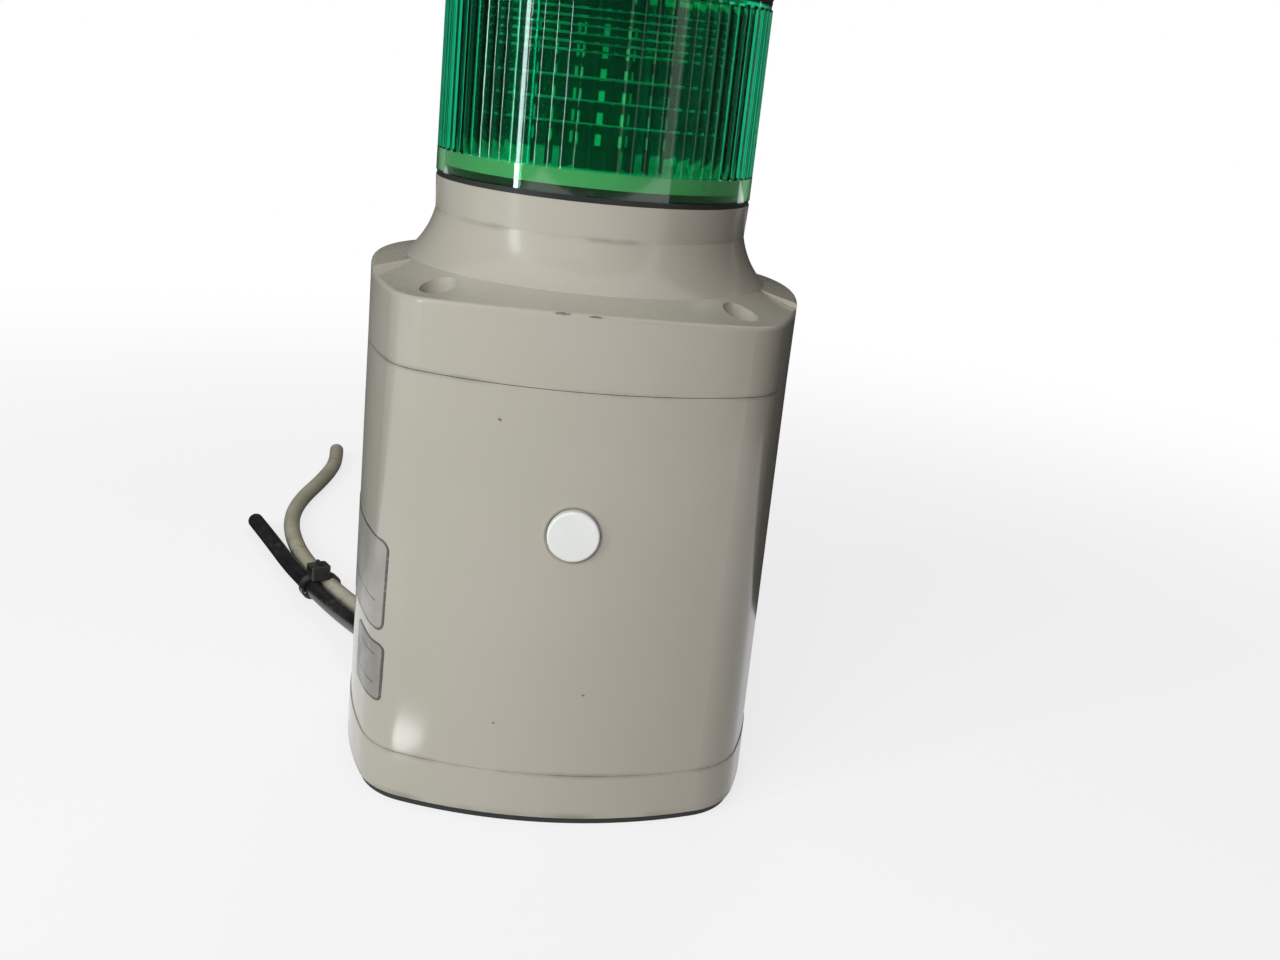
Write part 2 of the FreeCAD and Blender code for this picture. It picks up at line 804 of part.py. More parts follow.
def terminal_block():
    """Screw terminal strip along the board's left edge, with its wire side to the left."""
    low = z_board + board_thickness
    high = low + terminal_height
    length = terminal_count * terminal_pitch
    x = -board_x / 2.0 + terminal_edge
    y = terminal_low_y
    body = box(x, x + terminal_depth, y, y + length, low, high)
    shelf = low + terminal_step_height
    tools = [box(x - past, x + terminal_step_depth, y - past, y + length + past, shelf, high + past)]
    for i in range(terminal_count):
        centre = y + (i + 0.5) * terminal_pitch
        tools.append(rod(terminal_screw_radius, x + terminal_screw_place, centre, shelf, high + past))
        mouth = V(x - past, centre, low + terminal_wire_height)
        tools.append(Part.makeCylinder(terminal_wire_radius, terminal_wire_depth, mouth, V(1, 0, 0)))
    return single(cut(body, tools))


def buzzer():
    """Round sounder with a hole in its face."""
    low = z_board + board_thickness
    high = low + buzzer_height
    can = rod(buzzer_radius, 0.0, buzzer_place, low, high)
    return single(cut(can, [rod(buzzer_hole_radius, 0.0, buzzer_place, low + buzzer_floor, high + past)]))


def seal(z):
    """Rubber ring under a module: a thin flange outside and an upstand inside the lens skirt."""
    outer = lens_radius - lens_wall - seal_clearance
    inner = outer - seal_wall
    edge = lens_radius - seal_inset
    top = z + seal_flange + seal_height
    return turned([(inner, z), (edge, z), (edge, z + seal_flange), (outer, z + seal_flange), (outer, top),
                   (inner, top)])


def fluted_wire(z):
    """Outline of the lens body: one round flute after another."""
    step = 2.0 * pi / flute_count
    valley = lens_radius - flute_depth
    edges = []
    for i in range(flute_count):
        angle = i * step
        arc = Part.Arc(polar(valley, angle, z), polar(lens_radius, angle + step / 2.0, z),
                       polar(valley, angle + step, z))
        edges.append(arc.toShape())
    return Part.Wire(edges)


def lens(z):
    """Clear moulded lens: plain skirt, fluted body, top rim and the deck the next module stands on."""
    low = z + seal_flange
    high = z + module_pitch
    flutes_low = low + skirt_band
    flutes_high = high - top_rim
    skirt = rod(lens_radius, 0, 0, low, flutes_low)
    body = Part.Face(fluted_wire(flutes_low)).extrude(V(0, 0, flutes_high - flutes_low))
    rim = rod(lens_radius - flute_depth, 0, 0, flutes_high, high)
    bore = rod(lens_radius - lens_wall, 0, 0, low - past, high - lens_deck)
    eye = rod(lens_deck_bore, 0, 0, low, high + past)
    return single(fuse([skirt, body, rim]).cut([bore, eye]))


def module_base(z):
    """Pale disc at the foot of a module: it stands inside the seal and carries diffuser and post."""
    inner = lens_radius - lens_wall - seal_clearance - seal_wall - seal_clearance
    outer = lens_radius - lens_wall - seal_clearance
    shoulder = z + seal_flange + seal_height + seal_clearance
    top = shoulder + carrier_band
    floor = top - carrier_floor
    bore = rod_radius + rod_clearance
    return turned([(bore, z), (inner, z), (inner, shoulder), (outer, shoulder), (outer, top),
                   (diffuser_radius + diffuser_mouth, top), (diffuser_radius + diffuser_clearance, floor),
                   (bore, floor)])


def base_floor(z):
    return z + seal_flange + seal_height + seal_clearance + carrier_band - carrier_floor


def ridge_heights():
    """Heights of a diffuser's ridges above the module's lower face."""
    wide = [wide_ridge_first + i * wide_ridge_pitch for i in range(wide_ridge_count)]
    close = [close_ridge_first + i * close_ridge_pitch for i in range(close_ridge_count)]
    return wide + close


def diffuser(z):
    """Clear inner sleeve with sharp ridges that spread the light, close together near its top."""
    low = base_floor(z)
    high = z + module_pitch - lens_deck - diffuser_gap
    outer = diffuser_radius
    inner = outer - diffuser_wall
    points = [(inner, low), (outer, low)]
    for height in ridge_heights():
        centre = z + height
        points += [(outer, centre - ridge_half), (outer + ridge_depth, centre), (outer, centre + ridge_half)]
    points += [(outer, high), (inner, high)]
    return turned(points)


def led_post(z):
    """Six-sided post with rows of lamps on each face, bored for the clamping rod."""
    low = base_floor(z)
    high = z + module_pitch
    post = hexagon(post_across, low, high)
    lamps = []
    half = led_size / 2.0
    flat = post_across / 2.0
    for face in range(6):
        for row in range(led_rows):
            middle = low + led_first + row * led_pitch
            lamp = box(0.0, flat + led_height, -half, half, middle - half, middle + half)
            lamp.rotate(V(0, 0, 0), V(0, 0, 1), 30.0 + face * 60.0)
            lamps.append(lamp)
    return single(cut(fuse([post] + lamps), [rod(rod_radius + rod_clearance, 0, 0, low - past, high + past)]))


def tower_flange():
    """Round plate that clamps the tower to the collar from below."""
    top = z_tower - collar_deck
    bottom = top - tower_plate
    radius = collar_foot_radius - collar_wall - tower_plate_gap
    plate = rod(radius, 0, 0, bottom, top)
    hub = rod(hub_radius, 0, 0, bottom, z_tower)
    tools = [rod(rod_radius + rod_clearance, 0, 0, bottom - past, z_tower + past)]
    for i in range(port_count):
        place = polar(port_place, i * 2.0 * pi / port_count)
        tools.append(rod(port_radius, place.x, place.y, bottom - past, top + past))
    return single(cut(fuse([plate, hub]), tools))


def cap_low():
    return z_tower + 2.0 * module_pitch + seal_flange


def cap_seat():
    return cap_low() + cap_side + cap_rise - cap_recess_depth


def rod_top():
    return cap_seat() + nut_height - rod_short


def clamp_rod():
    low = z_tower - collar_deck - tower_plate - nut_height - rod_spare
    return rod(rod_radius, 0, 0, low, rod_top())


def rod_nut():
    top = z_tower - collar_deck - tower_plate
    nut = hexagon(nut_across, top - nut_height, top)
    return single(cut(nut, [rod(rod_radius + thread_clearance, 0, 0, top - nut_height - past, top + past)]))


def head_cap():
    """Lid of the tower: a shallow dome with a hub for the rod and a pocket for its nut."""
    low = cap_low()
    top = low + cap_side + cap_rise
    dome_radius = (lens_radius ** 2 + cap_rise ** 2) / (2.0 * cap_rise)
    slope = atan2(lens_radius, dome_radius - cap_rise) / 2.0
    crown = V(dome_radius * sin(slope), 0, top - dome_radius + dome_radius * cos(slope))
    foot = V(lens_radius, 0, low)
    shoulder = V(lens_radius, 0, low + cap_side)
    edges = [line(V(0, 0, low), foot),
             line(foot, shoulder),
             Part.Arc(shoulder, crown, V(0, 0, top)).toShape(),
             line(V(0, 0, top), V(0, 0, low))]
    dome = Part.Face(Part.Wire(edges)).revolve(V(0, 0, 0), V(0, 0, 1), 360)
    ring = [edge for edge in dome.Edges if abs(edge.CenterOfMass.z - shoulder.z) < hair]
    dome = dome.makeFillet(cap_edge_radius, ring)
    near = cap_recess_radius + cap_recess_wall
    far = lens_radius - cap_wall
    cavity = turned([(near, low - past), (far, low - past), (far, low + cap_inner_side),
                     (near, low + cap_inner_side + cap_inner_rise)])
    post_top = z_tower + 2.0 * module_pitch
    hub = rod(cap_hub_radius, 0, 0, post_top, low + past)
    pocket = rod(cap_recess_radius, 0, 0, cap_seat(), top + past)
    bore = rod(rod_radius + rod_clearance, 0, 0, post_top - past, top + past)
    return single(cut(fuse([dome, hub]), [cavity, pocket, bore]))


def cap_nut():
    """Domed nut on the end of the rod."""
    low = cap_seat()
    high = low + nut_height
    step = low + nut_height * cap_nut_hex
    nut = hexagon(nut_across, low, step)
    dome = rod(nut_across * cap_nut_dome / 2.0, 0, 0, step, high)
    rim = [edge for edge in dome.Edges if abs(edge.CenterOfMass.z - high) < hair]
    dome = dome.makeFillet(cap_nut_edge, rim)
    blind = rod(rod_radius + thread_clearance, 0, 0, low - past, rod_top() + thread_clearance)
    return single(cut(fuse([nut, dome]), [blind]))


def grommet_width():
    return cable_spacing + 2.0 * (white_radius + grommet_skin)


def cable_grommet():
    """Rubber plug that fills the skewed notch in the base wall and holds both cables."""
    width = grommet_width() - 2.0 * grommet_clearance
    height = grommet_height - 2.0 * grommet_clearance
    low = exit_height - grommet_height
    high = exit_height + grommet_height
    outer = sides(low, high, -grommet_flange)
    plug = exit_bar(width, height, -grommet_reach, grommet_reach)
    plug = plug.common(outer.cut(sides(low - past, high + past, wall + grommet_flange)))
    lip = exit_bar(width + 2.0 * grommet_lip, height + 2.0 * grommet_lip, -grommet_reach, grommet_reach)
    lip = lip.common(outer.cut(sides(low - past, high + past, -base_step)))
    return single(cut(fuse([plug, lip]), cable_bores(cable_clearance, -grommet_reach, grommet_reach)))


def cable_clamp():
    """Bar screwed down over both cables so that a pull doesn't reach the terminals."""
    top = exit_height + white_radius + clamp_cover
    solid = clamp_bar(exit_height + clamp_gap / 2.0, top)
    tools = cable_bores(cable_clearance, -clamp_back - clamp_width, -clamp_back + clamp_width)
    for place in clamp_places():
        tools.append(rod(clamp_screw_radius + hole_clearance, place.x, place.y, z_floor, top + past))
    return single(cut(solid, tools))


def clamp_screws():
    seat = exit_height + white_radius + clamp_cover
    return [screw(place.x, place.y, seat, clamp_screw_head_radius, clamp_screw_head,
                  clamp_screw_radius, clamp_screw_length, False) for place in clamp_places()]


def tie_loop(radius, back, front):
    """Rounded bar round both tied cables, at one distance from their axes."""
    half = tie_pitch / 2.0
    ahead = along_tie(1.0) - along_tie(0.0)
    ends = [Part.makeCylinder(radius, front - back, along_tie(back, side * half, tie_height), ahead)
            for side in (-1, 1)]
    middle = bar(tie_x, tie_y, tie_heading, back, front, -half, half,
                 tie_height - radius, tie_height + radius)
    return ends[0].fuse([ends[1], middle])


def cable_tie():
    """Strap round both cables with its ratchet head on top and the stub of its cut tail."""
    inner = max(white_radius, black_radius) + tie_clearance
    outer = inner + tie_thickness
    half = tie_width / 2.0
    strap = tie_loop(outer, -half, half)
    head_low = tie_height + inner
    head_top = head_low + tie_thickness + tie_head_height
    head_side = tie_head_across / 2.0
    head = bar(tie_x, tie_y, tie_heading, -tie_head_along / 2.0, tie_head_along / 2.0,
               tie_head_aside - head_side, tie_head_aside + head_side, head_low, head_top)
    head = head.makeFillet(tie_head_corner, upright_edges(head))
    tail_side = tie_tail_thickness / 2.0
    tail = bar(tie_x, tie_y, tie_heading, -half, half, tie_head_aside - tail_side,
               tie_head_aside + tail_side, head_low + tie_thickness, head_top + tie_tail)
    whole = fuse([strap, head, tail])
    return single(cut(whole, [tie_loop(inner, -tie_head_along, tie_head_along)]))


def tube(points, radius):
    """Sheathed cable along straight runs joined by tangent arcs."""
    edges = []
    start = points[0]
    length = 0.0
    for i in range(1, len(points) - 1):
        before = points[i] - points[i - 1]
        after = points[i + 1] - points[i]
        turn = before.getAngle(after)
        shorter = min(before.Length, after.Length)
        bend = 0.45 * shorter / tan(turn / 2.0)
        setback = 0.45 * shorter
        before.normalize()
        after.normalize()
        first = points[i] - before * setback
        last = points[i] + after * setback
        towards = (after - before)
        towards.normalize()
        centre = points[i] + towards * (bend / cos(turn / 2.0))
        inward = points[i] - centre
        inward.normalize()
        middle = centre + inward * bend
        edges.append(line(start, first))
        edges.append(Part.Arc(first, middle, last).toShape())
        length += (first - start).Length + bend * turn
        print("  bend %d: turn %.1f deg, radius %.1f mm" % (i, degrees(turn), bend))
        start = last
    edges.append(line(start, points[-1]))
    length += (points[-1] - start).Length
    path = Part.Wire(edges)
    ring = Part.Wire([Part.makeCircle(radius, points[0], points[1] - points[0])])
    pipe = path.makePipeShell([ring], True, False)
    expected = pi * radius ** 2 * length
    print("  length %.1f mm, volume over section times length %.4f" % (length, pipe.Volume / expected))
    return pipe


def black_route():
    """Points of the black cable: through the grommet, down to the tie, then off to its cut end."""
    side = -cable_spacing / 2.0
    rest = black_radius + 0.1
    tied = -tie_pitch / 2.0
    return [along_exit(-48.0, side, exit_height),
            along_exit(-26.0, side, exit_height + 0.01),
            along_exit(4.0, side, exit_height - 0.05),
            away(13.4, 15.7, 7.8),
            away(22.0, 32.1, 5.6),
            along_tie(-tie_run / 2.0, tied, tie_height),
            along_tie(tie_run / 2.0, tied, tie_height),
            away(49.5, 82.3, rest + 0.4),
            away(61.5, 108.5, rest),
            away(74.2, 134.3, rest + 0.1)]


def white_route():
    """Points of the white cable: beside the black one through the tie, then a long easy curve."""
    side = cable_spacing / 2.0
    rest = white_radius + 0.1
    tied = tie_pitch / 2.0
    return [along_exit(-48.0, side, exit_height),
            along_exit(-26.0, side, exit_height + 0.01),
            along_exit(4.0, side, exit_height - 0.05),
            away(6.6, 21.5, 8.0),
            away(15.8, 37.1, 5.8),
            along_tie(-tie_run / 2.0, tied, tie_height),
            along_tie(tie_run / 2.0, tied, tie_height),
            away(42.2, 83.9, rest + 0.6),
            away(49.6, 103.3, rest + 0.1),
            away(56.0, 125.3, rest),
            away(59.2, 148.3, rest + 0.1),
            away(58.2, 172.9, rest),
            away(53.8, 198.1, rest + 0.1),
            away(51.2, 223.5, rest),
            away(51.6, 240.5, rest + 0.1),
            away(53.6, 256.5, rest + 0.2)]


PARTS = {
    "base_gasket": base_gasket,
    "base_plate": base_plate,
    "body_shell": body_shell,
    "top_cover": top_cover,
    "cover_screws": cover_screws,
    "base_screws": base_screws,
    "button_cap": button_cap,
    "button_plate": button_plate,
    "button_switch": button_switch,
    "switch_plunger": switch_plunger,
    "control_board": control_board,
    "board_standoffs": board_standoffs,
    "board_screws": board_screws,
    "capacitors": capacitors,
    "relays": relays,
    "transformer": transformer,
    "terminal_block": terminal_block,
    "buzzer": buzzer,
    "tower_flange": tower_flange,
    "clamp_rod": clamp_rod,
    "rod_nut": rod_nut,
    "lower_seal": lambda: seal(z_tower),
    "green_lens": lambda: lens(z_tower),
    "green_base": lambda: module_base(z_tower),
    "green_diffuser": lambda: diffuser(z_tower),
    "green_led_post": lambda: led_post(z_tower),
    "middle_seal": lambda: seal(z_tower + module_pitch),
    "red_lens": lambda: lens(z_tower + module_pitch),
    "red_base": lambda: module_base(z_tower + module_pitch),
    "red_diffuser": lambda: diffuser(z_tower + module_pitch),
    "red_led_post": lambda: led_post(z_tower + module_pitch),
    "top_seal": lambda: seal(z_tower + 2.0 * module_pitch),
    "head_cap": head_cap,
    "cap_nut": cap_nut,
    "cable_grommet": cable_grommet,
    "cable_clamp": cable_clamp,
    "clamp_screws": clamp_screws,
    "cable_tie": cable_tie,
    "black_cable": lambda: tube(black_route(), black_radius),
    "white_cable": lambda: tube(white_route(), white_radius),
}


def save(name, made):
    """Write one node, as one solid or as a group of separate ones."""
    solids = made if isinstance(made, list) else [made]
    for solid in solids:
        if not solid.isValid() or solid.Volume <= 0.0:
            raise ValueError(name + " is not a sound solid")
    shape = solids[0] if len(solids) == 1 else Part.makeCompound(solids)
    shape.exportStep("parts/%s.step" % name)
    bounds = shape.BoundBox
    print("%-16s %d solid(s)  volume %9.1f  z %.2f to %.2f" %
          (name, len(shape.Solids), shape.Volume, bounds.ZMin, bounds.ZMax))


os.makedirs("parts", exist_ok=True)
for part_name, make in PARTS.items():
    save(part_name, make())
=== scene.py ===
import bpy
from math import cos, pi, radians, sin
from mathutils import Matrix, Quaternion, Vector


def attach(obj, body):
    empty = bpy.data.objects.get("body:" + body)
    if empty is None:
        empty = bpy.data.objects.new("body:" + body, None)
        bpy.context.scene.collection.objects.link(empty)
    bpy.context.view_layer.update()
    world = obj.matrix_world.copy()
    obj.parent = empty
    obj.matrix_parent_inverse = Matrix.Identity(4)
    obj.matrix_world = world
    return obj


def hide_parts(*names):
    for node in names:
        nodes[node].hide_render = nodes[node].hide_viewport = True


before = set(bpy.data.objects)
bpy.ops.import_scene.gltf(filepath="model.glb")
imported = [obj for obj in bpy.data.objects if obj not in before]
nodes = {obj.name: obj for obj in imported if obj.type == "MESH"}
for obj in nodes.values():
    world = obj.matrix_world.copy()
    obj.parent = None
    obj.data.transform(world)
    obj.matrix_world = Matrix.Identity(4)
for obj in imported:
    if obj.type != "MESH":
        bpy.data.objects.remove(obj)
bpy.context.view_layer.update()        # nodes of the imported tower, set in place
print("frame loaded:", len(nodes), "nodes")

cameraSet = {
    "place": (-0.02045, -0.43472, 0.22995),
    "look": (0.09908, 0.94929, -0.29838),
    "roll": 6.13,                # degrees, right side up
    "lens": 37.46,
    "sensor": 36.0,
    "range": (0.01, 20.0),
}


def addObject(name, data):
    piece = bpy.data.objects.new(name, data)
    bpy.context.scene.collection.objects.link(piece)
    return piece


def makeCamera():
    data = bpy.data.cameras.new("camera")
    data.lens = cameraSet["lens"]
    data.sensor_width = cameraSet["sensor"]
    data.clip_start, data.clip_end = cameraSet["range"]
    camera = addObject("camera", data)
    camera.location = cameraSet["place"]
    camera.rotation_mode = "QUATERNION"
    level = Vector(cameraSet["look"]).to_track_quat("-Z", "Y")
    camera.rotation_quaternion = level @ Quaternion((0, 0, 1), radians(cameraSet["roll"]))
    bpy.context.scene.camera = camera


makeCamera()
print("camera placed")


# Two sheathed cables, laid first: their routes are the moulded model's own points
blackCable = {
    "diameter": 0.0070,
    "length": 0.2019,
    "exit": (-0.0581, 0.0206, 0.0106),
    "route": [
        (-0.0445, -0.0038, 0.0106), (-0.0552, 0.0154, 0.0106), (-0.0697, 0.0417, 0.0105),
        (-0.0770, 0.0562, 0.0078), (-0.0856, 0.0726, 0.0056), (-0.0946, 0.0880, 0.0052),
        (-0.1034, 0.1030, 0.0052), (-0.1131, 0.1228, 0.0040), (-0.1251, 0.1490, 0.0036),
        (-0.1378, 0.1748, 0.0037),
    ],
    "coreRing": 0.0014,          # cores' distance from the cable's axis
    "coreSize": 0.00115,
    "cores": [(0.20, 0.09, 0.03), (0.03, 0.06, 0.22), (0.12, 0.20, 0.02)],
}
whiteCable = {
    "diameter": 0.0074,
    "length": 0.3178,
    "exit": (-0.0497, 0.0253, 0.0106),
    "route": [
        (-0.0361, 0.0008, 0.0106), (-0.0468, 0.0201, 0.0106), (-0.0613, 0.0463, 0.0105),
        (-0.0702, 0.0620, 0.0080), (-0.0794, 0.0776, 0.0058), (-0.0881, 0.0918, 0.0052),
        (-0.0969, 0.1068, 0.0052), (-0.1058, 0.1244, 0.0044), (-0.1132, 0.1438, 0.0039),
        (-0.1196, 0.1658, 0.0038), (-0.1228, 0.1888, 0.0039), (-0.1218, 0.2134, 0.0038),
        (-0.1174, 0.2386, 0.0039), (-0.1148, 0.2640, 0.0038), (-0.1152, 0.2810, 0.0039),
        (-0.1172, 0.2970, 0.0040),
    ],
    "coreRing": 0.0015,
    "coreSize": 0.00095,
    "cores": [(0.45, 0.40, 0.05), (0.30, 0.04, 0.03), (0.03, 0.18, 0.06), (0.55, 0.55, 0.52)],
}


tubeSteps = {"around": 8, "along": 12}


def makeCable(name, cable, node):
    data = bpy.data.curves.new(name, "CURVE")
    data.dimensions = "3D"
    data.bevel_depth = 1.0       # each point's radius sets the thickness
    data.bevel_resolution = tubeSteps["around"]
    data.use_fill_caps = True
    data.resolution_u = tubeSteps["along"]
    spline = data.splines.new("NURBS")
    spline.points.add(len(cable["route"]) - 1)
    for point, middle in zip(spline.points, cable["route"]):
        point.co = (*middle, 1.0)
        point.radius = cable["diameter"] / 2
    spline.order_u = 3
    spline.use_endpoint_u = True
    piece = addObject(name, data)
    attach(piece, "housing")
    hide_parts(node)
    return piece


blackPiece = makeCable("blackCable", blackCable, "black_cable")
whitePiece = makeCable("whiteCable", whiteCable, "white_cable")
print("cables laid")


# Helpers for node trees
def addNode(tree, kind, **settings):
    node = tree.nodes.new(kind)
    for key, value in settings.items():
        setattr(node, key, value)
    return node


def feed(tree, socket, value):
    if isinstance(value, bpy.types.NodeSocket):
        tree.links.new(value, socket)
    else:
        socket.default_value = value


def objectPlace(tree):
    return addNode(tree, "ShaderNodeTexCoord").outputs["Object"]


def splitVector(tree, vector):
    node = addNode(tree, "ShaderNodeSeparateXYZ")
    tree.links.new(vector, node.inputs[0])
    return node.outputs


def addMath(tree, operation, first, second=None, clamp=False):
    node = addNode(tree, "ShaderNodeMath", operation=operation, use_clamp=clamp)
    feed(tree, node.inputs[0], first)
    if second is not None:
        feed(tree, node.inputs[1], second)
    return node.outputs[0]


def addVector(tree, operation, first, second=None):
    node = addNode(tree, "ShaderNodeVectorMath", operation=operation)
    feed(tree, node.inputs[0], first)
    if second is not None:
        feed(tree, node.inputs[1], second)
    return node.outputs["Value"] if operation in ("LENGTH", "DOT_PRODUCT") else node.outputs["Vector"]


def addRange(tree, value, low, high, toLow=0.0, toHigh=1.0):
    node = addNode(tree, "ShaderNodeMapRange", interpolation_type="SMOOTHSTEP")
    for key, setting in (("Value", value), ("From Min", low), ("From Max", high),
                         ("To Min", toLow), ("To Max", toHigh)):
        feed(tree, node.inputs[key], setting)
    return node.outputs["Result"]


def addMix(tree, share, first, second):
    node = addNode(tree, "ShaderNodeMix", data_type="RGBA")
    feed(tree, node.inputs[0], share)
    feed(tree, node.inputs[6], first)
    feed(tree, node.inputs[7], second)
    return node.outputs[2]


def addNoise(tree, scale, detail):
    node = addNode(tree, "ShaderNodeTexNoise")
    feed(tree, node.inputs["Scale"], scale)
    node.inputs["Detail"].default_value = detail
    tree.links.new(objectPlace(tree), node.inputs["Vector"])
    return node.outputs["Fac"]


def mixShaders(tree, share, first, second):
    node = addNode(tree, "ShaderNodeMixShader")
    for socket, value in zip(node.inputs, (share, first, second)):
        tree.links.new(value, socket)
    return node.outputs[0]


def showShader(tree, output):
    tree.links.new(output, tree.nodes["Material Output"].inputs["Surface"])


def newGroup(name, ins, outs):
    tree = bpy.data.node_groups.new(name, "ShaderNodeTree")
    for label, kind, value in ins:
        socket = tree.interface.new_socket(label, in_out="INPUT", socket_type="NodeSocket" + kind)
        socket.default_value = value
    for label, kind in outs:
        tree.interface.new_socket(label, in_out="OUTPUT", socket_type="NodeSocket" + kind)
    return tree, tree.nodes.new("NodeGroupInput").outputs, tree.nodes.new("NodeGroupOutput").inputs


def place(tree, group, **settings):
    node = addNode(tree, "ShaderNodeGroup", node_tree=group)
    for key, value in settings.items():
        feed(tree, node.inputs[key], value)
    return node.outputs


# Effects shared by several materials; each pair of limits says where the noise starts and ends
effectSet = {
    "toneLimits": (0.32, 0.68),
    "glossLimits": (0.3, 0.7),
    "spotNoise": 1400.0,
    "spotLimits": (0.75, 1.1),
    "grimeNoise": 55.0,
    "grimeLimits": (0.35, 0.7),
    "upwardLimits": (0.35, 0.95),
    "dustLimits": (0.35, 0.75),
    "dustLeast": 0.35,
    "dustColor": (0.42, 0.39, 0.33, 1.0),
    "dustRough": 0.4,
}


def makeTone():
    ports = [("Base", "Color", (1, 1, 1, 1)), ("Shade", "Color", (0, 0, 0, 1)), ("Scale", "Float", 20.0)]
    tree, ins, outs = newGroup("mouldTone", ports, [("Color", "Color"), ("Mask", "Float")])
    mask = addRange(tree, addNoise(tree, ins["Scale"], 4.0), *effectSet["toneLimits"])
    tree.links.new(addMix(tree, mask, ins["Base"], ins["Shade"]), outs["Color"])
    tree.links.new(mask, outs["Mask"])
    return tree


def makeGrain():
    ports = [("Scale", "Float", 900.0), ("Depth", "Float", 0.00001)]
    tree, ins, outs = newGroup("surfaceGrain", ports, [("Normal", "Vector")])
    bump = addNode(tree, "ShaderNodeBump")
    bump.inputs["Strength"].default_value = 1.0
    tree.links.new(ins["Depth"], bump.inputs["Distance"])
    tree.links.new(addNoise(tree, ins["Scale"], 2.0), bump.inputs["Height"])
    tree.links.new(bump.outputs["Normal"], outs["Normal"])
    return tree


def makeSpot():
    ports = [("Place", "Vector", (0, 0, 0)), ("Reach", "Vector", (1, 1, 1)), ("Ragged", "Float", 0.5)]
    tree, ins, outs = newGroup("wearSpot", ports, [("Mask", "Float")])
    away = addVector(tree, "DIVIDE", addVector(tree, "SUBTRACT", objectPlace(tree), ins["Place"]), ins["Reach"])
    noise = addMath(tree, "MULTIPLY", addNoise(tree, effectSet["spotNoise"], 3.0), ins["Ragged"])
    reach = addMath(tree, "ADD", addVector(tree, "LENGTH", away), noise)
    tree.links.new(addRange(tree, reach, *effectSet["spotLimits"], 1.0, 0.0), outs["Mask"])
    return tree


def makeGrime():
    ports = [("Height", "Float", 0.0), ("Half", "Float", 0.001)]
    tree, ins, outs = newGroup("seamGrime", ports, [("Mask", "Float")])
    height = splitVector(tree, objectPlace(tree))["Z"]
    away = addMath(tree, "ABSOLUTE", addMath(tree, "SUBTRACT", height, ins["Height"]))
    near = addMath(tree, "SUBTRACT", 1.0, addMath(tree, "DIVIDE", away, ins["Half"]), clamp=True)
    patch = addRange(tree, addNoise(tree, effectSet["grimeNoise"], 4.0), *effectSet["grimeLimits"])
    tree.links.new(addMath(tree, "MULTIPLY", near, patch), outs["Mask"])
    return tree


# Mask of upward faces: where dust settles, and on the housing also where its top is painted darker as painted
# shade
def makeDustAndTopShade():
    ports = [("Amount", "Float", 0.3), ("Scale", "Float", 300.0)]
    tree, ins, outs = newGroup("settledDustAndTopShade", ports, [("Mask", "Float")])
    facing = splitVector(tree, addNode(tree, "ShaderNodeNewGeometry").outputs["Normal"])["Z"]
    upward = addRange(tree, facing, *effectSet["upwardLimits"])
    noise = addNoise(tree, ins["Scale"], 5.0)
    patch = addRange(tree, noise, *effectSet["dustLimits"], effectSet["dustLeast"], 1.0)
    lying = addMath(tree, "MULTIPLY", upward, patch)
    tree.links.new(addMath(tree, "MULTIPLY", lying, ins["Amount"]), outs["Mask"])
    return tree


tone = makeTone()
grain = makeGrain()
spot = makeSpot()
grime = makeGrime()
dustAndTopShade = makeDustAndTopShade()
print("shared effects built")


def newMaterial(name, color, roughness, **plain):
    made = bpy.data.materials.new(name)
    made.use_nodes = True
    tree = made.node_tree
    shader = tree.nodes["Principled BSDF"]
    shader.inputs["Base Color"].default_value = (*color, 1.0)
    shader.inputs["Roughness"].default_value = roughness
    for key, value in plain.items():
        shader.inputs[key.replace("_", " ")].default_value = value
    return made, tree, shader


def paint(piece, material):
    if piece.data.materials:
        for slot in range(len(piece.data.materials)):
            piece.data.materials[slot] = material
    else:
        piece.data.materials.append(material)


def twoTones(tree, base, shade, scale):
    return place(tree, tone, Base=(*base, 1.0), Shade=(*shade, 1.0), Scale=scale)


def dress(tree, shader, color, roughness, grainScale, grainDepth):
    tree.links.new(color, shader.inputs["Base Color"])
    tree.links.new(roughness, shader.inputs["Roughness"])
    tree.links.new(place(tree, grain, Scale=grainScale, Depth=grainDepth)["Normal"], shader.inputs["Normal"])


# A plain finish: two close tones, a roughness that follows them, a fine grain and some dust
def makeFinish(name, base, shade, scale, rough, grainScale=900.0, grainDepth=0.000006, dusty=0.0, **plain):
    made, tree, shader = newMaterial(name, base, rough[0], **plain)
    colors = twoTones(tree, base, shade, scale)
    surface = colors["Color"]
    roughness = addRange(tree, colors["Mask"], 0.0, 1.0, *rough)
    if dusty:
        settledAndShaded = place(tree, dustAndTopShade, Amount=dusty)["Mask"]
        surface = addMix(tree, settledAndShaded, surface, effectSet["dustColor"])
        dulled = addMath(tree, "MULTIPLY", settledAndShaded, effectSet["dustRough"])
        roughness = addMath(tree, "ADD", roughness, dulled, clamp=True)
    dress(tree, shader, surface, roughness, grainScale, grainDepth)
    return made
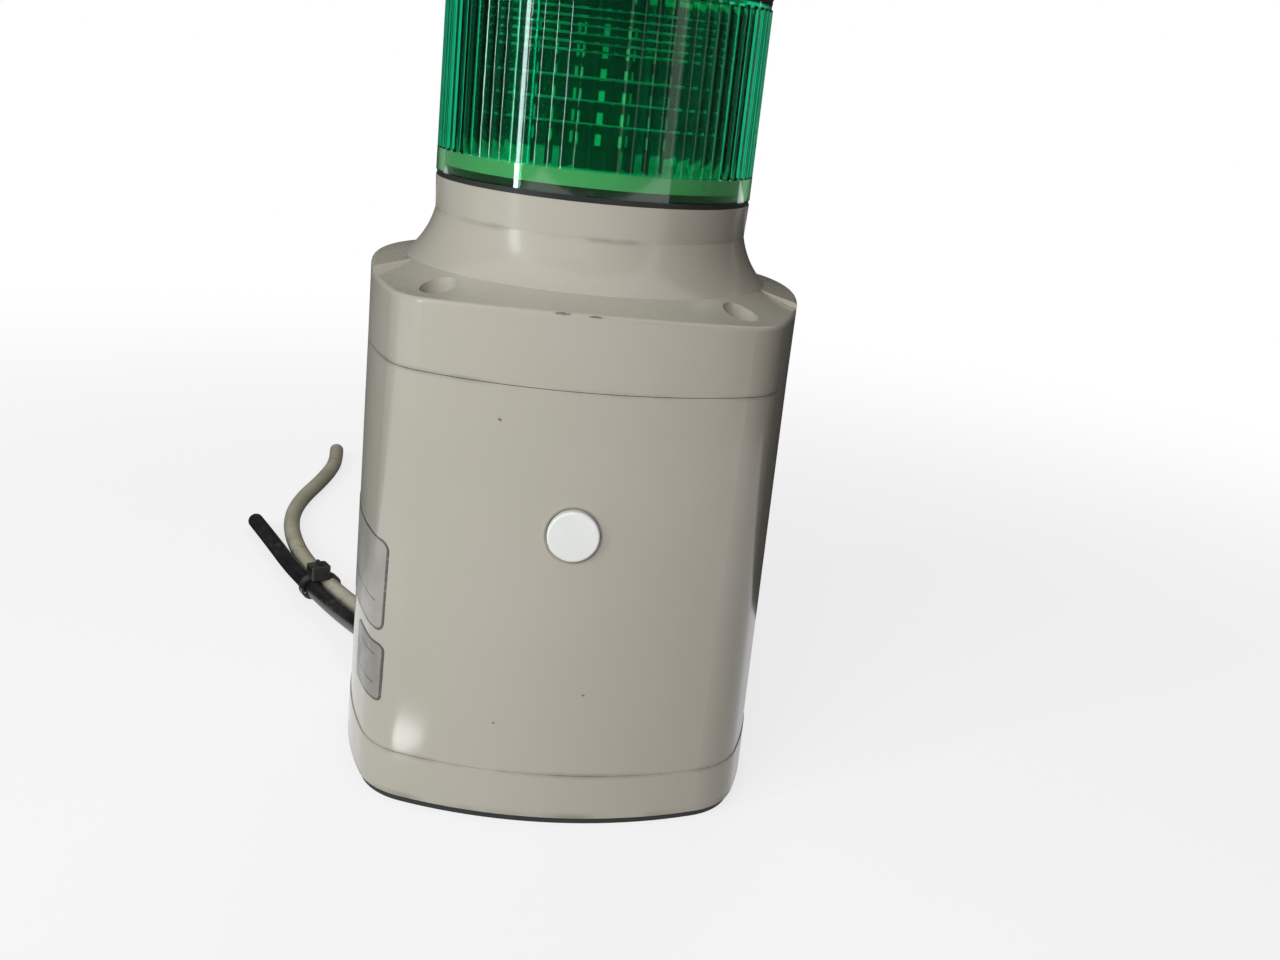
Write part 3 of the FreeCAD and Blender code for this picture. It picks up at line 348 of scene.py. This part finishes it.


# Housing: glossy off-white plastic with scuffs, specks and a little grime in its seams
# Its upward faces are painted darker: partly settled dust, partly painted shade on the top
housingSet = {
    "color": (0.476, 0.436, 0.371),
    "shade": (0.452, 0.418, 0.350),
    "toneScale": 16.0,
    "gloss": (0.13, 0.24),
    "glossNoise": 11.0,
    "waves": (38.0, 0.00006),    # scale and depth of the moulding's slow ripple
    "soil": (0.075, 0.065, 0.050, 1.0),
    "soilRough": 0.3,
    # darker on upward faces: partly settled dust, partly painted shade on the top
    "dustAndTopShade": {"amount": 0.22, "scale": 420.0, "color": (0.33, 0.30, 0.245, 1.0), "rough": 0.35},
    "seams": [(0.0173, 0.0012), (0.1393, 0.0012), (0.0030, 0.0016), (0.1799, 0.0012)],   # height and half width
    "seamShare": 0.45,
    "marks": [                   # middle and reach
        ((-0.0567, -0.0172, 0.1654), (0.0016, 0.0016, 0.0012)),
        ((0.0536, -0.0222, 0.1653), (0.0016, 0.0016, 0.0012)),
        ((-0.0085, -0.0678, 0.1612), (0.0040, 0.0030, 0.0007)),
        ((0.0008, -0.0682, 0.1611), (0.0035, 0.0030, 0.0006)),
        ((-0.0237, -0.0665, 0.1289), (0.0010, 0.0030, 0.0008)),
        ((0.0331, -0.0660, 0.1220), (0.0009, 0.0030, 0.0008)),
        ((-0.0402, -0.0660, 0.0891), (0.0005, 0.0030, 0.0022)),
        ((0.0352, -0.0660, 0.0655), (0.0012, 0.0030, 0.0009)),
        ((-0.0190, -0.0680, 0.0334), (0.0008, 0.0030, 0.0007)),
        ((0.0478, -0.0640, 0.0268), (0.0005, 0.0030, 0.0040)),
        ((0.0420, -0.0660, 0.0345), (0.0008, 0.0030, 0.0007)),
        ((0.0075, -0.0690, 0.0450), (0.0009, 0.0030, 0.0006)),
        ((0.0040, 0.0690, 0.0900), (0.0010, 0.0030, 0.0030)),
        ((0.0690, 0.0200, 0.0700), (0.0030, 0.0022, 0.0006)),
        ((-0.0240, 0.0680, 0.1220), (0.0016, 0.0030, 0.0010)),
        ((0.0680, -0.0180, 0.1150), (0.0030, 0.0012, 0.0009)),
    ],
    "markShare": 0.75,
    "markRagged": 0.8,
    "smudges": [
        ((0.0366, -0.0660, 0.0676), (0.0070, 0.0060, 0.0035)),
        ((0.0600, -0.0400, 0.1670), (0.009, 0.006, 0.004)),
        ((-0.0300, 0.0680, 0.0500), (0.0120, 0.0060, 0.0060)),
    ],
    "smudgeShare": 0.16,
    "smudgeRagged": 1.6,
}


def addSoil(tree, soiled, mask, share=1.0):
    if share != 1.0:
        mask = addMath(tree, "MULTIPLY", mask, share)
    return mask if soiled is None else addMath(tree, "MAXIMUM", soiled, mask)


def makeHousing():
    made, tree, shader = newMaterial("housingPlastic", housingSet["color"], housingSet["gloss"][0])
    colors = twoTones(tree, housingSet["color"], housingSet["shade"], housingSet["toneScale"])
    soiled = None
    for middle, reach in housingSet["marks"]:
        mark = place(tree, spot, Place=middle, Reach=reach, Ragged=housingSet["markRagged"])["Mask"]
        soiled = addSoil(tree, soiled, mark)
    soiled = addMath(tree, "MULTIPLY", soiled, housingSet["markShare"])
    for middle, reach in housingSet["smudges"]:
        smudge = place(tree, spot, Place=middle, Reach=reach, Ragged=housingSet["smudgeRagged"])["Mask"]
        soiled = addSoil(tree, soiled, smudge, housingSet["smudgeShare"])
    for height, half in housingSet["seams"]:
        seam = place(tree, grime, Height=height, Half=half)["Mask"]
        soiled = addSoil(tree, soiled, seam, housingSet["seamShare"])
    # Upward faces painted darker: partly settled dust, partly painted shade on the top
    dusty = housingSet["dustAndTopShade"]
    settledAndShaded = place(tree, dustAndTopShade, Amount=dusty["amount"], Scale=dusty["scale"])["Mask"]
    surface = addMix(tree, settledAndShaded, colors["Color"], dusty["color"])
    surface = addMix(tree, soiled, surface, housingSet["soil"])
    noise = addNoise(tree, housingSet["glossNoise"], 5.0)
    roughness = addRange(tree, noise, *effectSet["glossLimits"], *housingSet["gloss"])
    roughness = addMath(tree, "ADD", roughness, addMath(tree, "MULTIPLY", soiled, housingSet["soilRough"]))
    dulled = addMath(tree, "MULTIPLY", settledAndShaded, dusty["rough"])
    roughness = addMath(tree, "ADD", roughness, dulled, clamp=True)
    dress(tree, shader, surface, roughness, *housingSet["waves"])
    return made


housing = makeHousing()
for name in ("base_plate", "body_shell", "top_cover", "head_cap"):
    paint(nodes[name], housing)
print("housing finished")


# Light modules: clear dyed lenses over clear sleeves; lamps reach the inside through the dye
lensSet = {
    # The foot colours are painted light: they paint the plain skirt band paler, for light from the pale carrier
    # behind it
    "green": {"dye": (0.009, 0.58, 0.27), "deep": (0.006, 0.48, 0.21), "shadow": (0.60, 0.95, 0.74),
              "foot": (0.24, 0.60, 0.30), "footHeights": (0.1915, 0.1988)},
    "red": {"dye": (0.60, 0.018, 0.012), "deep": (0.52, 0.012, 0.010), "shadow": (0.80, 0.12, 0.10),
            "foot": (0.70, 0.12, 0.10), "footHeights": (0.2515, 0.2588)},
    "clear": {"dye": (0.93, 0.96, 0.94), "deep": (0.88, 0.93, 0.90), "shadow": (0.93, 0.95, 0.94)},
    "bend": 1.49,
    "toneScale": 70.0,
    "glossNoise": 90.0,
    "waves": (260.0, 0.000008),
    "outer": 0.0455,             # further from the axis than this is the outer face
    "coatRough": 0.05,
    "lensRough": (0.015, 0.05),
    "sleeveRough": (0.03, 0.09),
}


# Painted light: the plain skirt band is painted paler, standing in for light from the pale carrier close behind
# it
def addPaintedFootLight(tree, surface, dye, height):
    low, high = dye["footHeights"]
    above = addMath(tree, "GREATER_THAN", height, low)
    within = addMath(tree, "MULTIPLY", above, addMath(tree, "LESS_THAN", height, high))
    return addMix(tree, within, surface, (*dye["foot"], 1.0))


# A gloss that follows the lens as a whole, over the flutes, on its outer face alone
def addLensCoat(tree, shader, here):
    flat = addNode(tree, "ShaderNodeCombineXYZ")
    for axis in ("X", "Y"):
        tree.links.new(here[axis], flat.inputs[axis])
    away = flat.outputs[0]
    outer = addMath(tree, "GREATER_THAN", addVector(tree, "LENGTH", away), lensSet["outer"])
    front = addMath(tree, "SUBTRACT", 1.0, addNode(tree, "ShaderNodeNewGeometry").outputs["Backfacing"])
    tree.links.new(addMath(tree, "MULTIPLY", outer, front), shader.inputs["Coat Weight"])
    shader.inputs["Coat Roughness"].default_value = lensSet["coatRough"]
    tree.links.new(addVector(tree, "NORMALIZE", away), shader.inputs["Coat Normal"])


def makeClear(name, dye, rough):
    made, tree, shader = newMaterial(name, dye["dye"], rough[0], Transmission_Weight=1.0, IOR=lensSet["bend"])
    surface = twoTones(tree, dye["dye"], dye["deep"], lensSet["toneScale"])["Color"]
    if "foot" in dye:
        here = splitVector(tree, objectPlace(tree))
        # painted light: the skirt band is painted paler
        surface = addPaintedFootLight(tree, surface, dye, here["Z"])
        addLensCoat(tree, shader, here)
    roughness = addRange(tree, addNoise(tree, lensSet["glossNoise"], 4.0), *effectSet["glossLimits"], *rough)
    dress(tree, shader, surface, roughness, *lensSet["waves"])
    passing = addNode(tree, "ShaderNodeBsdfTransparent")
    passing.inputs["Color"].default_value = (*dye["shadow"], 1.0)
    shadowRay = addNode(tree, "ShaderNodeLightPath").outputs["Is Shadow Ray"]
    showShader(tree, mixShaders(tree, shadowRay, shader.outputs[0], passing.outputs[0]))
    return made


for name, dye in (("green_lens", "green"), ("red_lens", "red")):
    paint(nodes[name], makeClear("lens" + dye.title(), lensSet[dye], lensSet["lensRough"]))
clearSleeve = makeClear("sleeveClear", lensSet["clear"], lensSet["sleeveRough"])
for name in ("green_diffuser", "red_diffuser"):
    paint(nodes[name], clearSleeve)


# Lamp posts: dark boards on six sides whose raised lamps are pale
postSet = {
    "board": (0.012, 0.022, 0.014),
    "boardShade": (0.02, 0.04, 0.022),
    "toneScale": 300.0,
    "lamp": (0.80, 0.78, 0.62),
    "boardReach": 0.01372,       # of the boards' faces from the axis, just outside them
    "turns": (30, 90, 150),      # degrees, one for each pair of opposite sides
    "rough": (0.35, 0.18),       # of the board and of the lamps
    "grain": (1200.0, 0.00001),
}


def makePost():
    made, tree, shader = newMaterial("lampPost", postSet["board"], postSet["rough"][0])
    reach = None
    for turn in postSet["turns"]:
        side = (cos(radians(turn)), sin(radians(turn)), 0.0)
        across = addMath(tree, "ABSOLUTE", addVector(tree, "DOT_PRODUCT", objectPlace(tree), side))
        reach = across if reach is None else addMath(tree, "MAXIMUM", reach, across)
    lamp = addMath(tree, "GREATER_THAN", reach, postSet["boardReach"])
    colors = twoTones(tree, postSet["board"], postSet["boardShade"], postSet["toneScale"])
    surface = addMix(tree, lamp, colors["Color"], (*postSet["lamp"], 1.0))
    dress(tree, shader, surface, addRange(tree, lamp, 0.0, 1.0, *postSet["rough"]), *postSet["grain"])
    return made


lampPost = makePost()
for name in ("green_led_post", "red_led_post"):
    paint(nodes[name], lampPost)
print("light modules finished")


# One finish for each material, with the nodes that wear it
plainFinishes = {
    "sealRubber": (["base_gasket", "cable_grommet", "middle_seal", "top_seal", "lower_seal"],
                   dict(base=(0.012, 0.012, 0.013), shade=(0.028, 0.027, 0.026), scale=45.0, rough=(0.42, 0.62),
                        grainScale=1600.0, grainDepth=0.00001, dusty=0.10)),
    "carrierPlastic": (["green_base", "red_base"],
                       dict(base=(0.80, 0.80, 0.76), shade=(0.72, 0.72, 0.66), scale=30.0, rough=(0.35, 0.5))),
    "buttonPlastic": (["button_cap"],
                      dict(base=(0.88, 0.88, 0.86), shade=(0.84, 0.84, 0.81), scale=60.0, rough=(0.18, 0.30))),
    "plungerPlastic": (["switch_plunger"],
                       dict(base=(0.45, 0.06, 0.04), shade=(0.35, 0.04, 0.03), scale=200.0, rough=(0.4, 0.5))),
    "blackPlastic": (["buzzer", "button_switch", "button_plate", "cable_clamp"],
                     dict(base=(0.020, 0.020, 0.021), shade=(0.035, 0.035, 0.035), scale=120.0,
                          rough=(0.4, 0.55))),
    "tieNylon": (["cable_tie"],
                 dict(base=(0.012, 0.012, 0.012), shade=(0.030, 0.029, 0.027), scale=180.0, rough=(0.25, 0.45),
                      dusty=0.12)),
    "boardLaminate": (["control_board"],
                      dict(base=(0.012, 0.120, 0.045), shade=(0.010, 0.090, 0.035), scale=150.0,
                           rough=(0.25, 0.4), dusty=0.2)),
    "relayPlastic": (["relays"],
                     dict(base=(0.02, 0.05, 0.18), shade=(0.02, 0.04, 0.14), scale=150.0, rough=(0.35, 0.5))),
    "terminalPlastic": (["terminal_block"],
                        dict(base=(0.03, 0.26, 0.10), shade=(0.02, 0.20, 0.08), scale=150.0,
                             rough=(0.35, 0.5))),
    "capacitorSleeve": (["capacitors"],
                        dict(base=(0.012, 0.016, 0.04), shade=(0.02, 0.03, 0.06), scale=90.0,
                             rough=(0.2, 0.35))),
    "coreIron": (["transformer"],
                 dict(base=(0.055, 0.05, 0.045), shade=(0.10, 0.07, 0.04), scale=160.0, rough=(0.35, 0.6),
                      grainScale=2600.0, grainDepth=0.00003, Metallic=0.6)),
    "platedSteel": (["cover_screws", "base_screws", "board_screws", "clamp_screws", "rod_nut", "cap_nut",
                     "clamp_rod"],
                    dict(base=(0.56, 0.55, 0.52), shade=(0.42, 0.40, 0.36), scale=500.0, rough=(0.25, 0.5),
                         grainScale=2200.0, grainDepth=0.000012, Metallic=1.0)),
    "castAluminium": (["tower_flange"],
                      dict(base=(0.60, 0.60, 0.59), shade=(0.50, 0.50, 0.49), scale=240.0, rough=(0.4, 0.6),
                           grainScale=1500.0, grainDepth=0.00003, Metallic=1.0)),
    "turnedBrass": (["board_standoffs"],
                    dict(base=(0.62, 0.47, 0.18), shade=(0.52, 0.37, 0.13), scale=400.0, rough=(0.25, 0.45),
                         Metallic=1.0)),
}
for name, (members, settings) in plainFinishes.items():
    finish = makeFinish(name, **settings)
    for member in members:
        paint(nodes[member], finish)
print("plain finishes given")


# Sheaths: a dusty black one and a soiled white one
sheathSet = {
    "black": {"color": (0.010, 0.010, 0.011), "shade": (0.022, 0.022, 0.022), "scuff": (0.16, 0.15, 0.13),
              "share": 0.35},
    "white": {"color": (0.50, 0.47, 0.37), "shade": (0.42, 0.385, 0.29), "scuff": (0.16, 0.115, 0.06),
              "share": 0.75},
    "toneScale": 60.0,
    "wideNoise": 48.0,
    "wideLimits": (0.52, 0.72),
    "fineNoise": 420.0,
    "fineLimits": (0.45, 0.70),
    "speckNoise": 760.0,
    "speckLimits": (0.70, 0.76),
    "speckShare": 0.6,
    "rough": (0.32, 0.65),       # clean and soiled
    "grain": (700.0, 0.00003),
}


def makeSheath(name, sheath):
    made, tree, shader = newMaterial(name, sheath["color"], sheathSet["rough"][0])
    colors = twoTones(tree, sheath["color"], sheath["shade"], sheathSet["toneScale"])
    wide = addRange(tree, addNoise(tree, sheathSet["wideNoise"], 4.0), *sheathSet["wideLimits"])
    fine = addRange(tree, addNoise(tree, sheathSet["fineNoise"], 5.0), *sheathSet["fineLimits"])
    stain = addMath(tree, "MULTIPLY", addMath(tree, "MULTIPLY", wide, fine), sheath["share"])
    speck = addRange(tree, addNoise(tree, sheathSet["speckNoise"], 2.0), *sheathSet["speckLimits"])
    soiled = addSoil(tree, stain, speck, sheathSet["speckShare"])
    surface = addMix(tree, soiled, colors["Color"], (*sheath["scuff"], 1.0))
    dress(tree, shader, surface, addRange(tree, soiled, 0.0, 1.0, *sheathSet["rough"]), *sheathSet["grain"])
    return made


paint(blackPiece, makeSheath("blackSheath", sheathSet["black"]))
paint(whitePiece, makeSheath("whiteSheath", sheathSet["white"]))


# Cut end of a cable: its cores stand a little out of the sheath, each with bare strands in the middle
coreSet = {
    "sides": 16,
    "length": 0.0030,
    "proud": (0.0008, 0.0012),   # how far the cores stand out, by turns
    "start": 0.5,                # radians, where the first core sits
    "wall": 0.00035,
    "strandWithin": 0.0003,      # faces further than this inside the insulation are strands
    "strandLength": 0.0005,
    "shadeShare": 0.8,
    "toneScale": 300.0,
    "rough": (0.4, 0.5),
    "strands": dict(base=(0.72, 0.34, 0.18), shade=(0.50, 0.22, 0.12), scale=2400.0, rough=(0.3, 0.5),
                    grainScale=5200.0, grainDepth=0.00006, Metallic=1.0),
    "smooth": 35,
}


def makeCore(name, cable, i):
    angle = 2 * pi * i / len(cable["cores"]) + coreSet["start"]
    height = coreSet["proud"][i % 2] - coreSet["length"] / 2
    middle = (cable["coreRing"] * cos(angle), cable["coreRing"] * sin(angle), height)
    bpy.ops.object.select_all(action="DESELECT")
    bpy.ops.mesh.primitive_cylinder_add(vertices=coreSet["sides"], radius=cable["coreSize"],
                                        depth=coreSet["length"], location=middle)
    core = bpy.context.object
    bpy.ops.object.mode_set(mode="EDIT")
    bpy.ops.mesh.select_all(action="DESELECT")
    bpy.ops.object.mode_set(mode="OBJECT")
    for face in core.data.polygons:
        face.select = face.normal.z > 0.9
    bpy.ops.object.mode_set(mode="EDIT")
    bpy.ops.mesh.inset(thickness=coreSet["wall"])
    bpy.ops.mesh.extrude_region_move(TRANSFORM_OT_translate={"value": (0, 0, coreSet["strandLength"])})
    bpy.ops.object.mode_set(mode="OBJECT")
    color = cable["cores"][i]
    shade = tuple(coreSet["shadeShare"] * c for c in color)
    cover = makeFinish("core" + name + str(i), color, shade, coreSet["toneScale"], coreSet["rough"])
    core.data.materials.append(cover)
    core.data.materials.append(strandCopper)
    reach = cable["coreSize"] - coreSet["strandWithin"]
    for face in core.data.polygons:
        strand = all(core.data.vertices[v].co.xy.length < reach for v in face.vertices)
        face.material_index = 1 if strand else 0
    return core


def makeCores(name, cable):
    cores = [makeCore(name, cable, i) for i in range(len(cable["cores"]))]
    bpy.ops.object.select_all(action="DESELECT")
    for core in cores:
        core.select_set(True)
    bpy.context.view_layer.objects.active = cores[0]
    bpy.ops.object.join()
    whole = bpy.context.object
    whole.name = name
    bpy.ops.object.transform_apply(location=True, rotation=True, scale=True)
    tip = Vector(cable["route"][-1])
    ahead = (tip - Vector(cable["route"][-2])).normalized()
    whole.rotation_mode = "QUATERNION"
    whole.rotation_quaternion = Vector((0, 0, 1)).rotation_difference(ahead)
    whole.location = tip
    bpy.ops.object.transform_apply(location=True, rotation=True, scale=True)
    bpy.ops.object.shade_smooth_by_angle(angle=radians(coreSet["smooth"]))
    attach(whole, "housing")
    return whole


strandCopper = makeFinish("strandCopper", **coreSet["strands"])
blackCores = makeCores("blackCores", blackCable)
whiteCores = makeCores("whiteCores", whiteCable)
print("cable ends stripped")


# Two bare plates on the left side, foil stuck to the moulding round its front corner
plateSet = {
    "upperPlate": {"y": (-0.0552, -0.0050), "z": (0.0552, 0.0848), "round": 0.0030,
                   "face": (0.375, 0.345, 0.312), "shade": (0.345, 0.315, 0.282), "rules": [0.0642]},
    "lowerPlate": {"y": (-0.0560, -0.0350), "z": (0.0318, 0.0512), "round": 0.0022,
                   "face": (0.300, 0.275, 0.245), "shade": (0.240, 0.220, 0.195), "rules": [0.0468, 0.0372]},
}
foilSet = {
    "thick": 0.00012,
    "clear": 0.00004,            # from the moulding
    "strips": 26,
    "cornerSteps": 6,
    "start": -0.09,              # where a plate is cut before it is pressed on
    "throw": 0.06,
    "border": (-0.00080, -0.00055),
    "rule": (0.00018, 0.00030),
    "ruleShort": 0.001,
    "ink": (0.045, 0.042, 0.040, 1.0),
    "inkNoise": 700.0,
    "inkLimits": (0.25, 0.5),
    "inkShare": (0.45, 0.9),
    "toneScale": 110.0,
    "rough": (0.28, 0.42),
    "grain": (900.0, 0.00001),
    "smooth": 40,
}


def makePlateFoil(name, plate):
    made, tree, shader = newMaterial(name, plate["face"], foilSet["rough"][0])
    (low, high), (bottom, top) = plate["y"], plate["z"]
    middle = (0.0, (low + high) / 2, (bottom + top) / 2)
    half = ((high - low) / 2 - plate["round"], (top - bottom) / 2 - plate["round"])
    here = addVector(tree, "SUBTRACT", objectPlace(tree), middle)
    corner = addVector(tree, "SUBTRACT", addVector(tree, "ABSOLUTE", here), (1.0, *half))
    outside = addVector(tree, "LENGTH", addVector(tree, "MAXIMUM", corner, (0.0, 0.0, 0.0)))
    ink = addRange(tree, addMath(tree, "SUBTRACT", outside, plate["round"]), *foilSet["border"])
    spread = splitVector(tree, here)
    for height in plate["rules"]:
        away = addMath(tree, "ABSOLUTE", addMath(tree, "SUBTRACT", spread["Z"], height - middle[2]))
        rule = addRange(tree, away, *foilSet["rule"], 1.0, 0.0)
        beside = addMath(tree, "ABSOLUTE", spread["Y"])
        within = addMath(tree, "LESS_THAN", beside, half[0] - foilSet["ruleShort"])
        ink = addMath(tree, "MAXIMUM", ink, addMath(tree, "MULTIPLY", rule, within))
    wear = addRange(tree, addNoise(tree, foilSet["inkNoise"], 4.0), *foilSet["inkLimits"], *foilSet["inkShare"])
    colors = twoTones(tree, plate["face"], plate["shade"], foilSet["toneScale"])
    surface = addMix(tree, addMath(tree, "MULTIPLY", ink, wear), colors["Color"], foilSet["ink"])
    roughness = addRange(tree, colors["Mask"], 0.0, 1.0, *foilSet["rough"])
    dress(tree, shader, surface, roughness, *foilSet["grain"])
    return made


# Cuts a flat plate with round corners, in strips that let it bend
def cutPlate(name, plate):
    (low, high), (bottom, top) = plate["y"], plate["z"]
    middle = (foilSet["start"], (low + high) / 2, (bottom + top) / 2)
    bpy.ops.object.select_all(action="DESELECT")
    bpy.ops.mesh.primitive_plane_add(size=1.0, location=middle, rotation=(0, -pi / 2, 0))
    piece = bpy.context.object
    piece.name = name
    piece.scale = (top - bottom, high - low, 1.0)
    bpy.ops.object.transform_apply(location=True, rotation=True, scale=True)
    bpy.ops.object.mode_set(mode="EDIT")
    bpy.ops.mesh.select_all(action="SELECT")
    bpy.ops.mesh.bevel(affect="VERTICES", offset=plate["round"], offset_type="OFFSET",
                       segments=foilSet["cornerSteps"])
    for i in range(1, foilSet["strips"]):
        bpy.ops.mesh.select_all(action="SELECT")
        bpy.ops.mesh.bisect(plane_co=(0, low + (high - low) * i / foilSet["strips"], 0), plane_no=(0, 1, 0))
    bpy.ops.object.mode_set(mode="OBJECT")
    return piece


# Lays the plate on the moulding and turns its faces outwards
def pressPlate(piece):
    wrap = piece.modifiers.new("wrap", "SHRINKWRAP")
    wrap.target = nodes["body_shell"]
    wrap.wrap_method = "PROJECT"
    wrap.use_project_x = True
    wrap.use_positive_direction = True
    wrap.offset = foilSet["clear"]
    wrap.project_limit = foilSet["throw"]
    bpy.ops.object.modifier_apply(modifier="wrap")
    bpy.ops.object.mode_set(mode="EDIT")
    bpy.ops.mesh.select_all(action="SELECT")
    bpy.ops.mesh.normals_make_consistent(inside=False)
    bpy.ops.object.mode_set(mode="OBJECT")
    if sum(face.normal.x for face in piece.data.polygons) > 0:
        bpy.ops.object.mode_set(mode="EDIT")
        bpy.ops.mesh.flip_normals()
        bpy.ops.object.mode_set(mode="OBJECT")
    thick = piece.modifiers.new("thick", "SOLIDIFY")
    thick.thickness = foilSet["thick"]
    thick.offset = 1.0
    bpy.ops.object.modifier_apply(modifier="thick")
    bpy.ops.object.shade_smooth_by_angle(angle=radians(foilSet["smooth"]))


def makePlate(name, plate):
    piece = cutPlate(name, plate)
    pressPlate(piece)
    piece.data.materials.append(makePlateFoil(name + "Foil", plate))
    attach(piece, "housing")


for name, plate in plateSet.items():
    makePlate(name, plate)
print("side plates stuck on")


# Studio: soft main light from the front left, a tall narrow one beyond it and one behind, with dark cards
# all round that only reflections show
studioSet = {
    "lamps": {
        "mainLamp": {"place": (-0.55, -1.27, 0.82), "aim": (0, 0, 0.15), "size": (1.3, 0.9), "power": 18.2,
                     "color": (1.0, 1.0, 1.0), "mirrored": False},
        "stripLamp": {"place": (-1.10, -0.69, 0.56), "aim": (0, 0, 0.56), "size": (0.08, 1.1), "power": 4.8,
                      "color": (0.78, 0.97, 1.0), "mirrored": True},
        "backLamp": {"place": (0.25, 1.30, 1.10), "aim": (0, 0, 0.15), "size": (0.8, 0.5), "power": 5.0,
                     "color": (1.0, 1.0, 1.0), "mirrored": False},
    },
    "floor": {"size": 8.0, "color": (0.30, 0.30, 0.30), "rough": 0.9,
              "seen": (0.92, 0.92, 0.92, 1.0), "shadowShare": 0.26,
              "shade": (0.25, 0.85)},    # where the shadow starts to fade and where it is gone
    "air": 0.20,
    "cards": [                   # place, size, facing, and whether it also keeps soft light off
        ((0.55, -0.05, 0.40), (0.80, 0.80), (-1, 0, 0), True),
        ((0.00, 1.60, 0.80), (1.80, 4.20), (0, -1, 0), False),
        ((-1.60, -0.10, 0.80), (1.80, 3.60), (1, 0, 0), False),
        ((0.00, -1.90, 0.80), (4.60, 3.60), (0, 1, 0), False),
        ((0.00, 0.80, 0.0006), (1.40, 2.40), (0, 0, 1), False),
    ],
    "felt": {"base": (0.02, 0.02, 0.02), "shade": (0.03, 0.03, 0.03), "scale": 30.0, "rough": (0.9, 1.0)},
    "glint": {"place": (-0.080, -0.092, 0.0005), "size": 0.026, "strength": 9.0},
}


def addLamp(name, lampSet):
    data = bpy.data.lights.new(name, "AREA")
    data.shape = "RECTANGLE"
    data.size, data.size_y = lampSet["size"]
    data.energy = lampSet["power"]
    data.color = lampSet["color"]
    lamp = addObject(name, data)
    lamp.location = lampSet["place"]
    lamp.rotation_mode = "QUATERNION"
    lamp.rotation_quaternion = (Vector(lampSet["aim"]) - lamp.location).to_track_quat("-Z", "Y")
    lamp.visible_glossy = lampSet["mirrored"]


def seenDirectly(tree):
    path = addNode(tree, "ShaderNodeLightPath")
    seen = addMath(tree, "MAXIMUM", path.outputs["Is Camera Ray"], path.outputs["Is Transmission Ray"])
    return addMath(tree, "MAXIMUM", seen, path.outputs["Is Glossy Ray"])


# The floor looks white and keeps the shadow near the object, and it gives off little light of its own
def makeFloor():
    floorSet = studioSet["floor"]
    bpy.ops.object.select_all(action="DESELECT")
    bpy.ops.mesh.primitive_plane_add(size=floorSet["size"], location=(0, 0, 0))
    floor = bpy.context.object
    floor.name = "floor"
    made, tree, shader = newMaterial("floorPaint", floorSet["color"], floorSet["rough"])
    seen = addNode(tree, "ShaderNodeBsdfDiffuse")
    seen.inputs["Color"].default_value = floorSet["seen"]
    white = addNode(tree, "ShaderNodeEmission")
    away = addVector(tree, "LENGTH", objectPlace(tree))
    share = addRange(tree, away, *floorSet["shade"], floorSet["shadowShare"], 0.0)
    blend = mixShaders(tree, share, white.outputs[0], seen.outputs[0])
    showShader(tree, mixShaders(tree, seenDirectly(tree), shader.outputs[0], blend))
    floor.data.materials.append(made)


def makeAir():
    world = bpy.data.worlds.new("studioAir")
    bpy.context.scene.world = world
    world.use_nodes = True
    tree = world.node_tree
    back = tree.nodes["Background"]
    back.inputs["Color"].default_value = (1, 1, 1, 1)
    level = addNode(tree, "ShaderNodeMapRange")
    level.inputs["To Min"].default_value = studioSet["air"]
    level.inputs["To Max"].default_value = 1.0
    tree.links.new(seenDirectly(tree), level.inputs["Value"])
    tree.links.new(level.outputs[0], back.inputs["Strength"])


# Only reflections show the piece, and soft light meets it where it is asked to
def hideFromView(piece, soft):
    piece.visible_camera = False
    piece.visible_transmission = False
    piece.visible_diffuse = soft
    piece.visible_shadow = soft


def makeCards():
    felt = makeFinish("cardFelt", **studioSet["felt"])
    for i, (middle, size, facing, soft) in enumerate(studioSet["cards"]):
        bpy.ops.object.select_all(action="DESELECT")
        bpy.ops.mesh.primitive_plane_add(size=1.0, location=middle)
        piece = bpy.context.object
        piece.name = "card" + str(i)
        piece.scale = (size[1], size[0], 1.0)
        piece.rotation_mode = "QUATERNION"
        piece.rotation_quaternion = Vector(facing).to_track_quat("Z", "Y")
        piece.data.materials.append(felt)
        hideFromView(piece, soft)


# A small bright patch by the foot
def makeGlint():
    glint = studioSet["glint"]
    bpy.ops.object.select_all(action="DESELECT")
    bpy.ops.mesh.primitive_circle_add(vertices=24, radius=glint["size"] / 2, fill_type="NGON",
                                      location=glint["place"])
    piece = bpy.context.object
    piece.name = "glint"
    made = bpy.data.materials.new("glintLight")
    made.use_nodes = True
    glow = addNode(made.node_tree, "ShaderNodeEmission")
    glow.inputs["Strength"].default_value = glint["strength"]
    showShader(made.node_tree, glow.outputs[0])
    piece.data.materials.append(made)
    hideFromView(piece, False)


makeFloor()
makeAir()
makeCards()
makeGlint()
for name, lampSet in studioSet["lamps"].items():
    addLamp(name, lampSet)
bpy.context.scene.view_settings.view_transform = "Standard"
print("studio lit")
